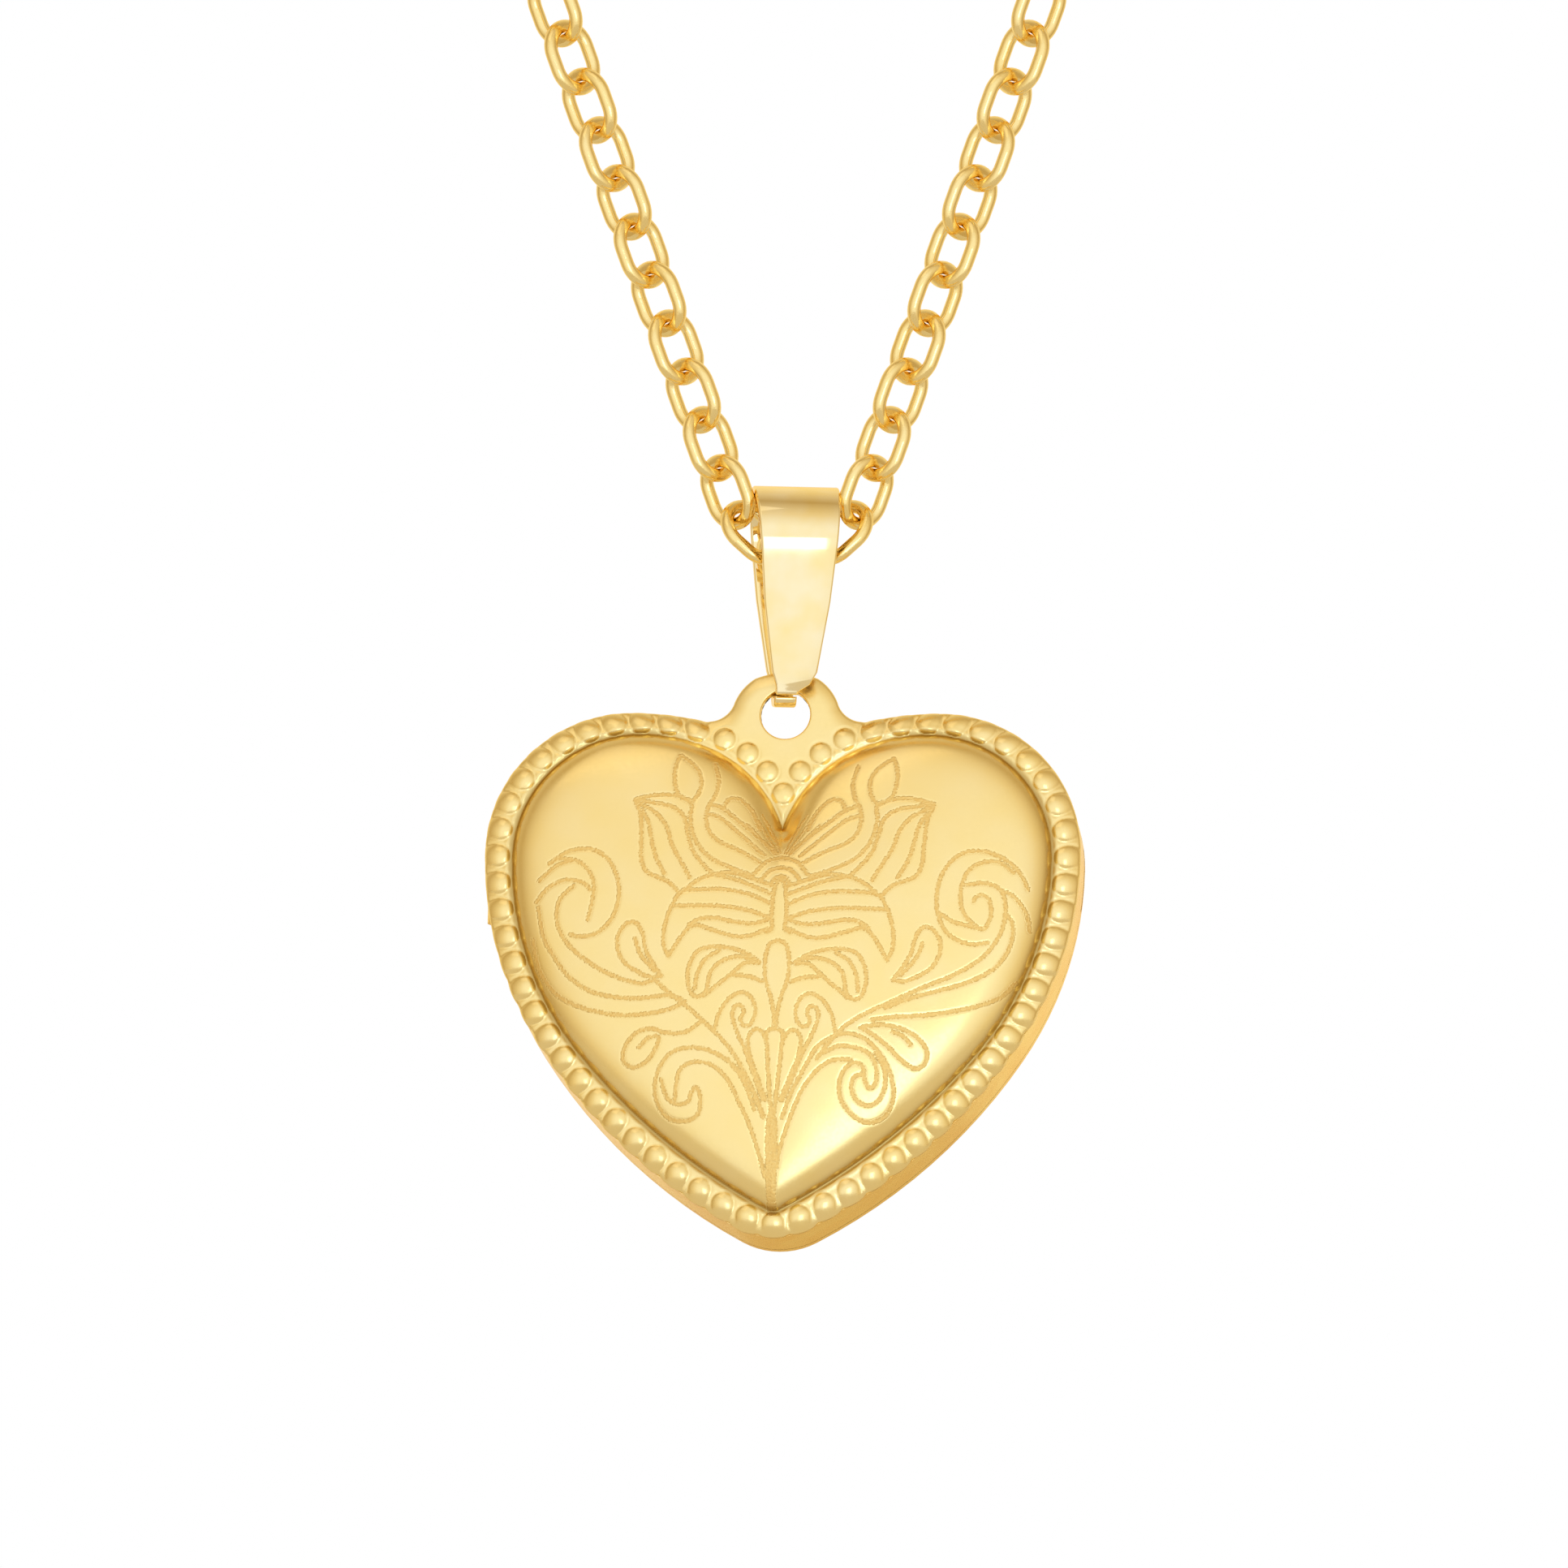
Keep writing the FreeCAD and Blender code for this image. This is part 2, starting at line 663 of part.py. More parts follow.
def photo_holders():
    """A clear window and the springy frame that holds it, in the front half and in the back half."""
    frame_thick = size("holder_thickness")
    window_thick = size("window_thickness")
    width = size("holder_width")
    step = 0.02
    front_inset = size("wall_inset") + size("wall_thickness") + step
    start = size("cover_sheet") + step
    window = heart_slab(front_inset, start, start + window_thick)
    solid_feature("front_photo_window", window, heart_frame())
    start += window_thick + step
    frame = heart_ring(front_inset, front_inset + width, start, start + frame_thick)
    solid_feature("front_photo_frame", frame.Solids[0], heart_frame())

    back_inset = size("lip_inset") + size("lip_thickness") + step
    end = size("back_front") - step
    window = heart_slab(back_inset, end - window_thick, end)
    solid_feature("back_photo_window", window, heart_frame())
    end -= window_thick + step
    frame = heart_ring(back_inset, back_inset + width, end - frame_thick, end)
    solid_feature("back_photo_frame", frame.Solids[0], heart_frame())


def hinge_axis():
    """A point on the hinge's axis, level with its middle."""
    depth = size("wall_back") + size("knuckle_radius") + size("knuckle_gap")
    return Vector(-half_width() + size("hinge_inboard"), depth, size("hinge_height"))


def knuckle(name, low):
    at = hinge_axis() + Vector(0, 0, low)
    return primitive("Part::Cylinder", name, tuple(at),
                     Radius="<knuckle_radius>", Height="<knuckle_length>")


def knuckle_bore(name, low, radius):
    at = hinge_axis() + Vector(0, 0, low)
    return primitive("Part::Cylinder", name, tuple(at), Radius=radius, Height="<knuckle_length>")


def hinge():
    """Three tube knuckles on one pin: the outer two stand on the wall, the middle one on the cover."""
    axis = hinge_axis()
    length = size("knuckle_length")
    half = hinge_span() / 2
    seat_front = size("wall_back")
    fixed = []
    for name, low in (("Lower", -half), ("Upper", half - length)):
        z = axis.z + low
        seat_side = axis.x - size("hinge_pin_radius")
        seat = box(name + "Seat", (seat_side, seat_front, z),
                   (seat_side + size("knuckle_seat_width"), axis.y - 0.1, z + length))
        solid = fuse(name + "Solid", [knuckle(name + "Tube", low), seat])
        fixed.append(cut(name + "Knuckle", solid, knuckle_bore(name + "Bore", low, "<hinge_pin_radius>")))
    pair = doc.addObject("Part::Compound", "body_hinge_knuckles")
    pair.Links = fixed
    keep(pair, "body_hinge_knuckles", heart_frame())

    low = -length / 2
    z = axis.z + low
    leaf_front = size("back_front") + 0.05
    leaf_back = size("back_front") + size("back_sheet")
    leaf = box("CoverLeaf", (axis.x, leaf_front, z), (hinge_gap_edge(), leaf_back, z + length))
    solid = fuse("CoverSolid", [knuckle("CoverTube", low), leaf])
    bore = knuckle_bore("CoverBore", low, "<hinge_pin_radius> + <running_clearance>")
    keep(cut("cover_hinge_knuckle", solid, bore), "cover_hinge_knuckle", heart_frame())

    body = doc.addObject("PartDesign::Body", "hinge_pin")
    sketch = body_sketch(body, "PinSection", "XY_Plane")
    sketch.addGeometry(Part.Circle(Vector(), Z_AXIS, size("hinge_pin_radius")))
    sketch.addConstraint(Sketcher.Constraint("Coincident", 0, 3, -1, 1))
    radius = sketch.addConstraint(Sketcher.Constraint("Radius", 0, size("hinge_pin_radius")))
    sketch.setExpression(f"Constraints[{radius}]", "Sizes.hinge_pin_radius")
    pad = body.newObject("PartDesign::Pad", "PinLength")
    pad.Profile = sketch
    bind(pad, Length="3 * <knuckle_length> + 2 * <knuckle_gap>")
    body.Placement = Placement(axis - Vector(0, 0, half), Rotation())
    keep(body, "hinge_pin", heart_frame())


def catch():
    """A tongue on the cover, whose bead snaps behind a keeper on the wall."""
    middle = size("hinge_height")
    half = size("catch_half_width")
    edge = half_width()
    front = size("back_front")
    wall = size("wall_inset") + size("wall_thickness")

    def window(low_y, high_y, width):
        return block((edge - 3, low_y, middle - width), (edge + 1, high_y, middle + width))

    low, high = size("keeper_front"), size("keeper_back")
    keeper = heart_ring(wall, wall + size("keeper_height"), low, high)
    keeper = keeper.common(window(low, high, half + 0.2))
    solid_feature("catch_keeper", keeper.Solids[0], heart_frame())
    low, high = size("tongue_front"), size("bead_back")
    inner = wall + size("tongue_offset")
    blade = heart_ring(inner, inner + size("tongue_thickness"), low, front)
    blade = blade.common(window(low, front, half))
    outer = wall + size("bead_offset")
    bead = heart_ring(outer, inner + 0.03, low, high).common(window(low, high, half))
    tongue = blade.fuse(bead).removeSplitter()
    solid_feature("catch_tongue", tongue.Solids[0], heart_frame())


# ---------------------------------------------------------------- checks and files

def check_document():
    doc.recompute()
    for obj in doc.Objects:
        if "Invalid" in obj.State or "Error" in obj.State:
            raise RuntimeError(f"{obj.Label} failed: {obj.State}")
    for obj in nodes:
        if obj.Shape.isNull() or not obj.Shape.isValid():
            raise RuntimeError(f"{obj.Label} has no valid shape")


def export():
    os.makedirs("parts", exist_ok=True)
    for obj in nodes:
        obj.Shape.exportStep(f"parts/{obj.Label}.step")
    print(len(nodes), "nodes")


def main():
    chain()
    end_rings()
    clasp_body()
    clasp_lever()
    clasp_pin()
    clasp_spring()
    bail()
    front_cover()
    rim_band()
    back_cover()
    photo_holders()
    hinge()
    catch()
    check_document()
    export()


main()
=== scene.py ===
"""Looks of the heart locket: stamped and engraved cover, folded bail, gold finishes and studio.

The cover and the bail are made in millimetres in their own frames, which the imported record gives,
and then moved into the shared frame in metres. In the heart's frame X is to the right, Z is up,
the front is -Y, and the origin is the middle of the lug's hole.
"""
import json
import math
import bpy
import numpy as np
from mathutils import Matrix, Vector, geometry

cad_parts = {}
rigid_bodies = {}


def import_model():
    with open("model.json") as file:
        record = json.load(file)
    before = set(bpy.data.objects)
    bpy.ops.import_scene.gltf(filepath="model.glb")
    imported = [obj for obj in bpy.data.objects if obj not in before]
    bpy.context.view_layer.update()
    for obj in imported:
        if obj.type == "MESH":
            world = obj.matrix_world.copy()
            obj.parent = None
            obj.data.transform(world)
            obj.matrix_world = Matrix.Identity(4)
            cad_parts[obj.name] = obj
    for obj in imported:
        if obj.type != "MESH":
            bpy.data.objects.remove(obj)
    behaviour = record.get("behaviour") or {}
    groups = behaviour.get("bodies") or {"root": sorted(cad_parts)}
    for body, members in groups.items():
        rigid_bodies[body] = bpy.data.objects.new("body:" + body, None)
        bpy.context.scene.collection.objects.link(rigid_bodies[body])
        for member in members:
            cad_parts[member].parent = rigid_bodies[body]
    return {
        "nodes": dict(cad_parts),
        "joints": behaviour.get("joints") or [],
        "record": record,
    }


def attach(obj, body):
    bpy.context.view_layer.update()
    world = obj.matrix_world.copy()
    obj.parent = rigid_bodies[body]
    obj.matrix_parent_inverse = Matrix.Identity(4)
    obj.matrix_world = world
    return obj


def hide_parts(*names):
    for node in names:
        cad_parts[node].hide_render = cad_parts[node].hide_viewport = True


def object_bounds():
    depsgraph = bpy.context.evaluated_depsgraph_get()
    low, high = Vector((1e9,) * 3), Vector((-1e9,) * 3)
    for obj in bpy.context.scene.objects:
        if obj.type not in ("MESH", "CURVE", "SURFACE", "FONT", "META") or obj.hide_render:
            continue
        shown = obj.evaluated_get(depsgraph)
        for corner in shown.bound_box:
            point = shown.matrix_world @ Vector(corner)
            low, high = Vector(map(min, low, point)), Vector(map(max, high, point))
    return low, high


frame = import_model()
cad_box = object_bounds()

MM = 0.001
PI = math.pi


# ---------------------------------------------------------------- frames of the moving parts

# From the middle of the heart's flat back, which has a mount, to the middle of the lug's hole.
BACK_DEPTH = 3.3
BACK_DROP = 10.0


def joint(name):
    return next(item for item in frame["joints"] if item["name"] == name)


def mount(name):
    return next(item for item in frame["record"]["mounts"] if item["name"] == name)


def axes_matrix(x_axis, y_axis, z_axis, origin):
    turn = Matrix((x_axis, y_axis, z_axis)).transposed().to_4x4()
    return Matrix.Translation(origin) @ turn @ Matrix.Scale(MM, 4)


def heart_matrix():
    """The heart's own frame: X along its swing axis, Y out of its back, Z along its hinge."""
    x_axis = Vector(joint("heart_swing")["axis"]).normalized()
    y_axis = Vector(mount("back_face")["axis"]).normalized()
    z_axis = Vector(joint("cover_hinge")["axis"]).normalized()
    back = Vector(mount("back_face")["pos_m"])
    origin = back - y_axis * BACK_DEPTH * MM + z_axis * BACK_DROP * MM
    return axes_matrix(x_axis, y_axis, z_axis, origin)


def bail_matrix():
    """The bail's own frame: X along its swing axis, Z up."""
    swing = joint("bail_swing")
    x_axis = Vector(swing["axis"]).normalized()
    z_axis = Vector((-x_axis.z, 0, x_axis.x)).normalized()
    return axes_matrix(x_axis, z_axis.cross(x_axis), z_axis, Vector(swing["pos_m"]))


# ---------------------------------------------------------------- sizes of the cover, in mm

SHEET = 0.4
HOLE_RADIUS = 1.02
# spacing of the front's grid, of the plain inside's grid, and of points along the edges
GRID = 0.06
BACK_GRID = 0.3
EDGE_STEP = 0.09
EDGE_ROUND = 0.09

# the cover's edge: the lug's points, then the top of a lobe and the arcs from there to the tip,
# each as its radius and its turn in degrees
LUG_POINTS = ((0, 1.82), (0.66, 1.755), (1.3, 1.56), (1.83, 1.07), (2.12, 0.56), (2.44, 0.04),
              (3.3, -0.243))
LOBE_TOP = (6.35, 0.12)
LOBE_TOP_RADIUS = 13
LOBE_TURNS = ((5.92, 90), (14.75, 33.2), (23, 28.4))

# the dome's foot in the same way, with an arc from the lobe's top inwards and one into the notch
FOOT_TOP = (5.9, -0.85)
FOOT_TURNS = ((5.2, 90), (13, 39.5), (26.5, 22))
FOOT_INNER_RADIUS = 7.0
FOOT_INNER_TURN = 26
NOTCH_RADIUS = 5.5
# the V-shaped flat between the lobes is nearer to the middle and higher up than this
NOTCH_HALF = 3.2
NOTCH_LOW = -4.5

DOME_WALL = 0.55
DOME_WALL_WIDTH = 0.42
DOME_CROWN = 1.1
CROWN_POWER = 1.05

BEAD_PITCH = 1.13
BEAD_RADIUS = 0.46
BEAD_HEIGHT = 0.14
# a bead's middle stays this far inside the cover's edge, and no further than this from the foot
BEAD_MARGIN = 0.58
BEAD_FROM_FOOT = 0.95
NOTCH_BEAD_FROM_FOOT = 0.62
BEAD_STRETCH = 0.6
BEAD_REACH = 1.3
MOAT_DEPTH = 0.025
MOAT_AT = 1.08
MOAT_WIDTH = 0.12
SCALLOP = 0.1
SCALLOP_REACH = 1.2
# the scallops grow from nothing to full between these distances below the hole
SCALLOP_FROM, SCALLOP_FULL = 8, 14

# the front's fall to its edge, which is less at the lug; the groove and lip at the dome's foot;
# and the crease that runs down from the notch
SHOULDER_DROP = 0.28
SHOULDER_WIDTH = 0.85
LUG_DROP_LESS = 0.07
LUG_WIDTH_LESS = 0.15
GROOVE_DEPTH = 0.05
GROOVE_WIDTH = 0.11
# width of the band of painted shade that darkens the gold along the dome's foot
GROOVE_SHADE = 0.17
LIP_HEIGHT = 0.03
LIP_INSET = 0.25
LIP_WIDTH = 0.1
CREASE_DEPTH = 0.4
CREASE_WIDTH = 0.62
# heights between which the lug begins and the crease ends
LUG_FROM, LUG_FULL = -0.9, 0.1
CREASE_END, CREASE_FULL = -7.8, -4.4

LINE_HALF = 0.085
LINE_DEPTH = 0.02
PATTERN_OFFSET = 0.22
PATTERN_DROP = 0.09
PATTERN_TURN = 0.8
PATTERN_STRETCH = 1.01


# ---------------------------------------------------------------- arcs in the XZ plane
# An arc is (centre, radius, first, last), its angles clockwise from straight up.

def arc_point(arc, share):
    """Point at a share of the way along an arc."""
    (cx, cz), radius, first, last = arc
    angle = first + (last - first) * share
    return cx + radius * math.sin(angle), cz + radius * math.cos(angle)


def chain_arcs(start, heading, turns):
    """Arcs that each go on where the last one ends: radius and turn in degrees."""
    arcs = []
    at, angle = start, math.radians(heading)
    for radius, turn in turns:
        centre = (at[0] - radius * math.sin(angle), at[1] - radius * math.cos(angle))
        last = angle + math.radians(turn)
        arcs.append((centre, radius, angle, last))
        at, angle = arc_point(arcs[-1], 1), last
    return arcs


def tip_arc(arcs):
    """The arc that ends a half outline on the centre line."""
    (_, _, _, heading) = arcs[-1]
    x, z = arc_point(arcs[-1], 1)
    radius = x / math.sin(PI - heading)
    return (0.0, z - radius * math.cos(heading)), radius, heading, PI


def three_point_arc(a, b, c):
    """The arc from a over b to c."""
    (ax, az), (bx, bz), (cx, cz) = a, b, c
    d = 2 * (ax * (bz - cz) + bx * (cz - az) + cx * (az - bz))
    sa, sb, sc = ax * ax + az * az, bx * bx + bz * bz, cx * cx + cz * cz
    ux = (sa * (bz - cz) + sb * (cz - az) + sc * (az - bz)) / d
    uz = (sa * (cx - bx) + sb * (ax - cx) + sc * (bx - ax)) / d
    first, last = math.atan2(ax - ux, az - uz), math.atan2(cx - ux, cz - uz)
    last = first + (last - first + PI) % (2 * PI) - PI
    return (ux, uz), math.hypot(ax - ux, az - uz), first, last


def edge_arcs():
    """Right half of the cover's edge: from the top of the lug over the lobe to the tip."""
    lug = [three_point_arc(*LUG_POINTS[i:i + 3]) for i in (0, 2, 4)]
    top_x, top_z = LOBE_TOP
    first = -math.asin((top_x - LUG_POINTS[-1][0]) / LOBE_TOP_RADIUS)
    top = ((top_x, top_z - LOBE_TOP_RADIUS), LOBE_TOP_RADIUS, first, 0.0)
    lobe = chain_arcs(LOBE_TOP, 0, LOBE_TURNS)
    return lug + [top] + lobe + [tip_arc(lobe)]


def foot_arcs():
    """Right half of the dome's foot: from the notch over the lobe to the tip."""
    inwards = ((FOOT_INNER_RADIUS, -FOOT_INNER_TURN), (NOTCH_RADIUS, 0))
    inner, into_notch = chain_arcs(FOOT_TOP, 0, inwards)
    (cx, cz), radius, first, _ = into_notch
    notch = ((cx, cz), radius, -math.asin(cx / radius), first)
    rest = chain_arcs(FOOT_TOP, 0, FOOT_TURNS)
    return [notch, (inner[0], inner[1], inner[3], inner[2])] + rest + [tip_arc(rest)]


def arcs_distance(arcs, x, z):
    """Distance from points to a symmetric outline, of which arcs are the right half."""
    x = np.abs(x)
    best = np.full(x.shape, 1e9)
    for arc in arcs:
        (cx, cz), radius, first, last = arc
        angle = np.arctan2(x - cx, z - cz)
        off = np.abs((angle - (first + last) / 2 + PI) % (2 * PI) - PI)
        near = np.abs(np.hypot(x - cx, z - cz) - radius)
        ends = [np.hypot(x - px, z - pz) for px, pz in (arc_point(arc, 0), arc_point(arc, 1))]
        near = np.where(off <= abs(last - first) / 2, near, np.minimum(*ends))
        best = np.minimum(best, near)
    return best


def sample_half(arcs, step):
    """Points and outward normals along the right half."""
    points, normals = [], []
    for arc in arcs:
        _, radius, first, last = arc
        count = max(2, round(radius * abs(last - first) / step))
        for i in range(count):
            share = i / count
            angle = first + (last - first) * share
            side = 1 if last > first else -1
            points.append(arc_point(arc, share))
            normals.append((side * math.sin(angle), side * math.cos(angle)))
    points.append(arc_point(arcs[-1], 1))
    normals.append((0.0, -1.0))
    return np.array(points), np.array(normals)


def full_loop(points, normals):
    """Both halves as one clockwise loop, when the half starts and ends on the centre line."""
    flip = np.array([-1.0, 1.0])
    return (np.vstack([points, points[-2:0:-1] * flip]),
            np.vstack([normals, normals[-2:0:-1] * flip]))


def inside_loop(loop, x, z):
    """True where a ray from the point crosses the loop an odd number of times."""
    inside = np.zeros(x.shape, bool)
    following = np.roll(loop, -1, axis=0)
    for (x0, z0), (x1, z1) in zip(loop, following):
        if z0 == z1:
            continue
        span = (z0 > z) != (z1 > z)
        inside ^= span & (x < (x1 - x0) * (z - z0) / (z1 - z0) + x0)
    return inside


EDGE = edge_arcs()
FOOT = foot_arcs()
EDGE_LOOP, EDGE_NORMALS = full_loop(*sample_half(EDGE, EDGE_STEP))
FOOT_LOOP, _ = full_loop(*sample_half(FOOT, EDGE_STEP))


def foot_inset(x, z):
    """How far inside the dome's foot points lie."""
    return arcs_distance(FOOT, x, z) * np.where(inside_loop(FOOT_LOOP, x, z), 1, -1)


def in_notch(x, z):
    return (np.abs(x) < NOTCH_HALF) & (z > NOTCH_LOW)


# ---------------------------------------------------------------- beads

def bead_centres():
    """Beads at an even pitch along a line outside the dome's foot, first the one in the notch."""
    points, normals = sample_half(FOOT, 0.02)
    room = arcs_distance(EDGE, *points.T)
    on_rim = np.minimum(room - BEAD_MARGIN, BEAD_FROM_FOOT)
    away = np.where(in_notch(*points.T), NOTCH_BEAD_FROM_FOOT, on_rim)
    # a running mean over 61 points, 30 on each side
    away = np.convolve(np.pad(away, 30, "edge"), np.ones(61) / 61, "valid")
    path = points + normals * away[:, None]
    path = path[np.argmax(path[:, 0] >= 0):]
    path[0, 0] = path[-1, 0] = 0
    travel = np.concatenate([[0], np.cumsum(np.hypot(*np.diff(path, axis=0).T))])
    count = round(travel[-1] / BEAD_PITCH)
    at = np.linspace(0, travel[-1], count + 1)
    half = np.column_stack([np.interp(at, travel, path[:, 0]), np.interp(at, travel, path[:, 1])])
    return np.vstack([half, half[1:-1] * [-1, 1]])


BEADS = bead_centres()


def outward(x, z):
    """Direction from the heart's middle, as a stand-in for the way out of the rim."""
    middle_z, squash = -8.5, 0.95
    dx, dz = x, (z - middle_z) * squash
    length = np.maximum(np.hypot(dx, dz), 1e-6)
    return dx / length, dz / length


def bead_relief(x, z):
    """Round beads, drawn out towards the edge along the rim, each in a shallow moat."""
    relief = np.zeros(x.shape)
    for bx, bz in BEADS:
        near = np.hypot(x - bx, z - bz) < BEAD_REACH
        if not near.any():
            continue
        dx, dz = x[near] - bx, z[near] - bz
        ox, oz = outward(bx, bz)
        out = dx * ox + dz * oz
        along = dx * oz - dz * ox
        if not in_notch(bx, bz):
            inner = min(BEAD_RADIUS, 0.85 * float(-foot_inset(np.array([bx]), np.array([bz]))[0]))
            out = np.where(out > 0, out * BEAD_STRETCH, out * BEAD_RADIUS / inner)
        radius = np.hypot(out, along) / BEAD_RADIUS
        bump = BEAD_HEIGHT * np.clip(1 - radius ** 2, 0, 1) ** 0.85
        moat = -MOAT_DEPTH * np.exp(-((radius - MOAT_AT) / MOAT_WIDTH) ** 2)
        relief[near] = np.where(bump > 0, np.maximum(relief[near], bump), relief[near] + moat)
    return relief


def scallop_depth(points, normals):
    """How far the edge draws in between two beads, which it does only low down."""
    depth = np.zeros(len(points))
    strength = SCALLOP * smooth_share(-points[:, 1], SCALLOP_FROM, SCALLOP_FULL)
    for i, ((px, pz), (nx, nz)) in enumerate(zip(points, normals)):
        gaps = BEADS - (px, pz)
        nearest = gaps[np.argmin(np.hypot(*gaps.T))]
        if np.hypot(*nearest) > SCALLOP_REACH:
            continue
        along = abs(nearest[0] * nz - nearest[1] * nx)
        depth[i] = strength[i] * min(1, (along / (BEAD_PITCH / 2)) ** 2)
    return depth


# ---------------------------------------------------------------- dome

def doubled(values):
    """A grid at half the spacing, straight between the old points."""
    wide = np.zeros((values.shape[0] * 2 - 1, values.shape[1]))
    wide[::2] = values
    wide[1::2] = (values[:-1] + values[1:]) / 2
    fine = np.zeros((wide.shape[0], values.shape[1] * 2 - 1))
    fine[:, ::2] = wide
    fine[:, 1::2] = (wide[:, :-1] + wide[:, 1:]) / 2
    return fine


def inflated(inside):
    """Height of a skin blown up over the outline, from a coarse grid to a fine one, 1 at its top."""
    skin = None
    for step, rounds in ((16, 300), (8, 120), (4, 60), (2, 40), (1, 40)):
        mask = inside[::step, ::step][1:-1, 1:-1]
        skin = np.zeros(inside[::step, ::step].shape) if skin is None else doubled(skin)
        for _ in range(rounds):
            around = skin[:-2, 1:-1] + skin[2:, 1:-1] + skin[1:-1, :-2] + skin[1:-1, 2:]
            skin[1:-1, 1:-1] = (around / 4 + step * step) * mask
    return skin / skin.max()


def grid_axes(spacing):
    """Columns and rows around the whole cover, a multiple of sixteen cells each way."""
    cells = 16
    width, height, top = 25.4, 24.6, 2.1
    x_count = cells * math.ceil(width / spacing / cells)
    z_count = cells * math.ceil(height / spacing / cells)
    xs = (np.arange(x_count + 1) - x_count / 2) * spacing
    zs = top - (z_count - np.arange(z_count + 1)) * spacing
    return xs, zs


GRID_X, GRID_Z = grid_axes(GRID)
FIELD_X, FIELD_Z = np.meshgrid(GRID_X, GRID_Z, indexing="ij")
SKIN = inflated(foot_inset(FIELD_X, FIELD_Z) > -0.3)


def lookup(field, x, z):
    """Value of a field between its grid points."""
    u = np.clip((x - GRID_X[0]) / GRID, 0, len(GRID_X) - 1.001)
    w = np.clip((z - GRID_Z[0]) / GRID, 0, len(GRID_Z) - 1.001)
    i, k = u.astype(int), w.astype(int)
    u, w = u - i, w - k
    low = field[i, k] * (1 - u) + field[i + 1, k] * u
    high = field[i, k + 1] * (1 - u) + field[i + 1, k + 1] * u
    return low * (1 - w) + high * w


def dome(x, z, inset):
    """Steep wall at the foot, then the gentle crown."""
    wall = 1 - np.exp(-np.maximum(inset, 0) / DOME_WALL_WIDTH)
    return wall * (DOME_WALL + DOME_CROWN * lookup(SKIN, x, z) ** CROWN_POWER)


def smooth_share(value, low, high):
    """0 below low, 1 above high, and a smooth step between."""
    share = np.clip((value - low) / (high - low), 0, 1)
    return share * share * (3 - 2 * share)


# ---------------------------------------------------------------- engraving
# Each stroke is a smooth curve through a few points (x, z) in mm, x from the pattern's own middle.

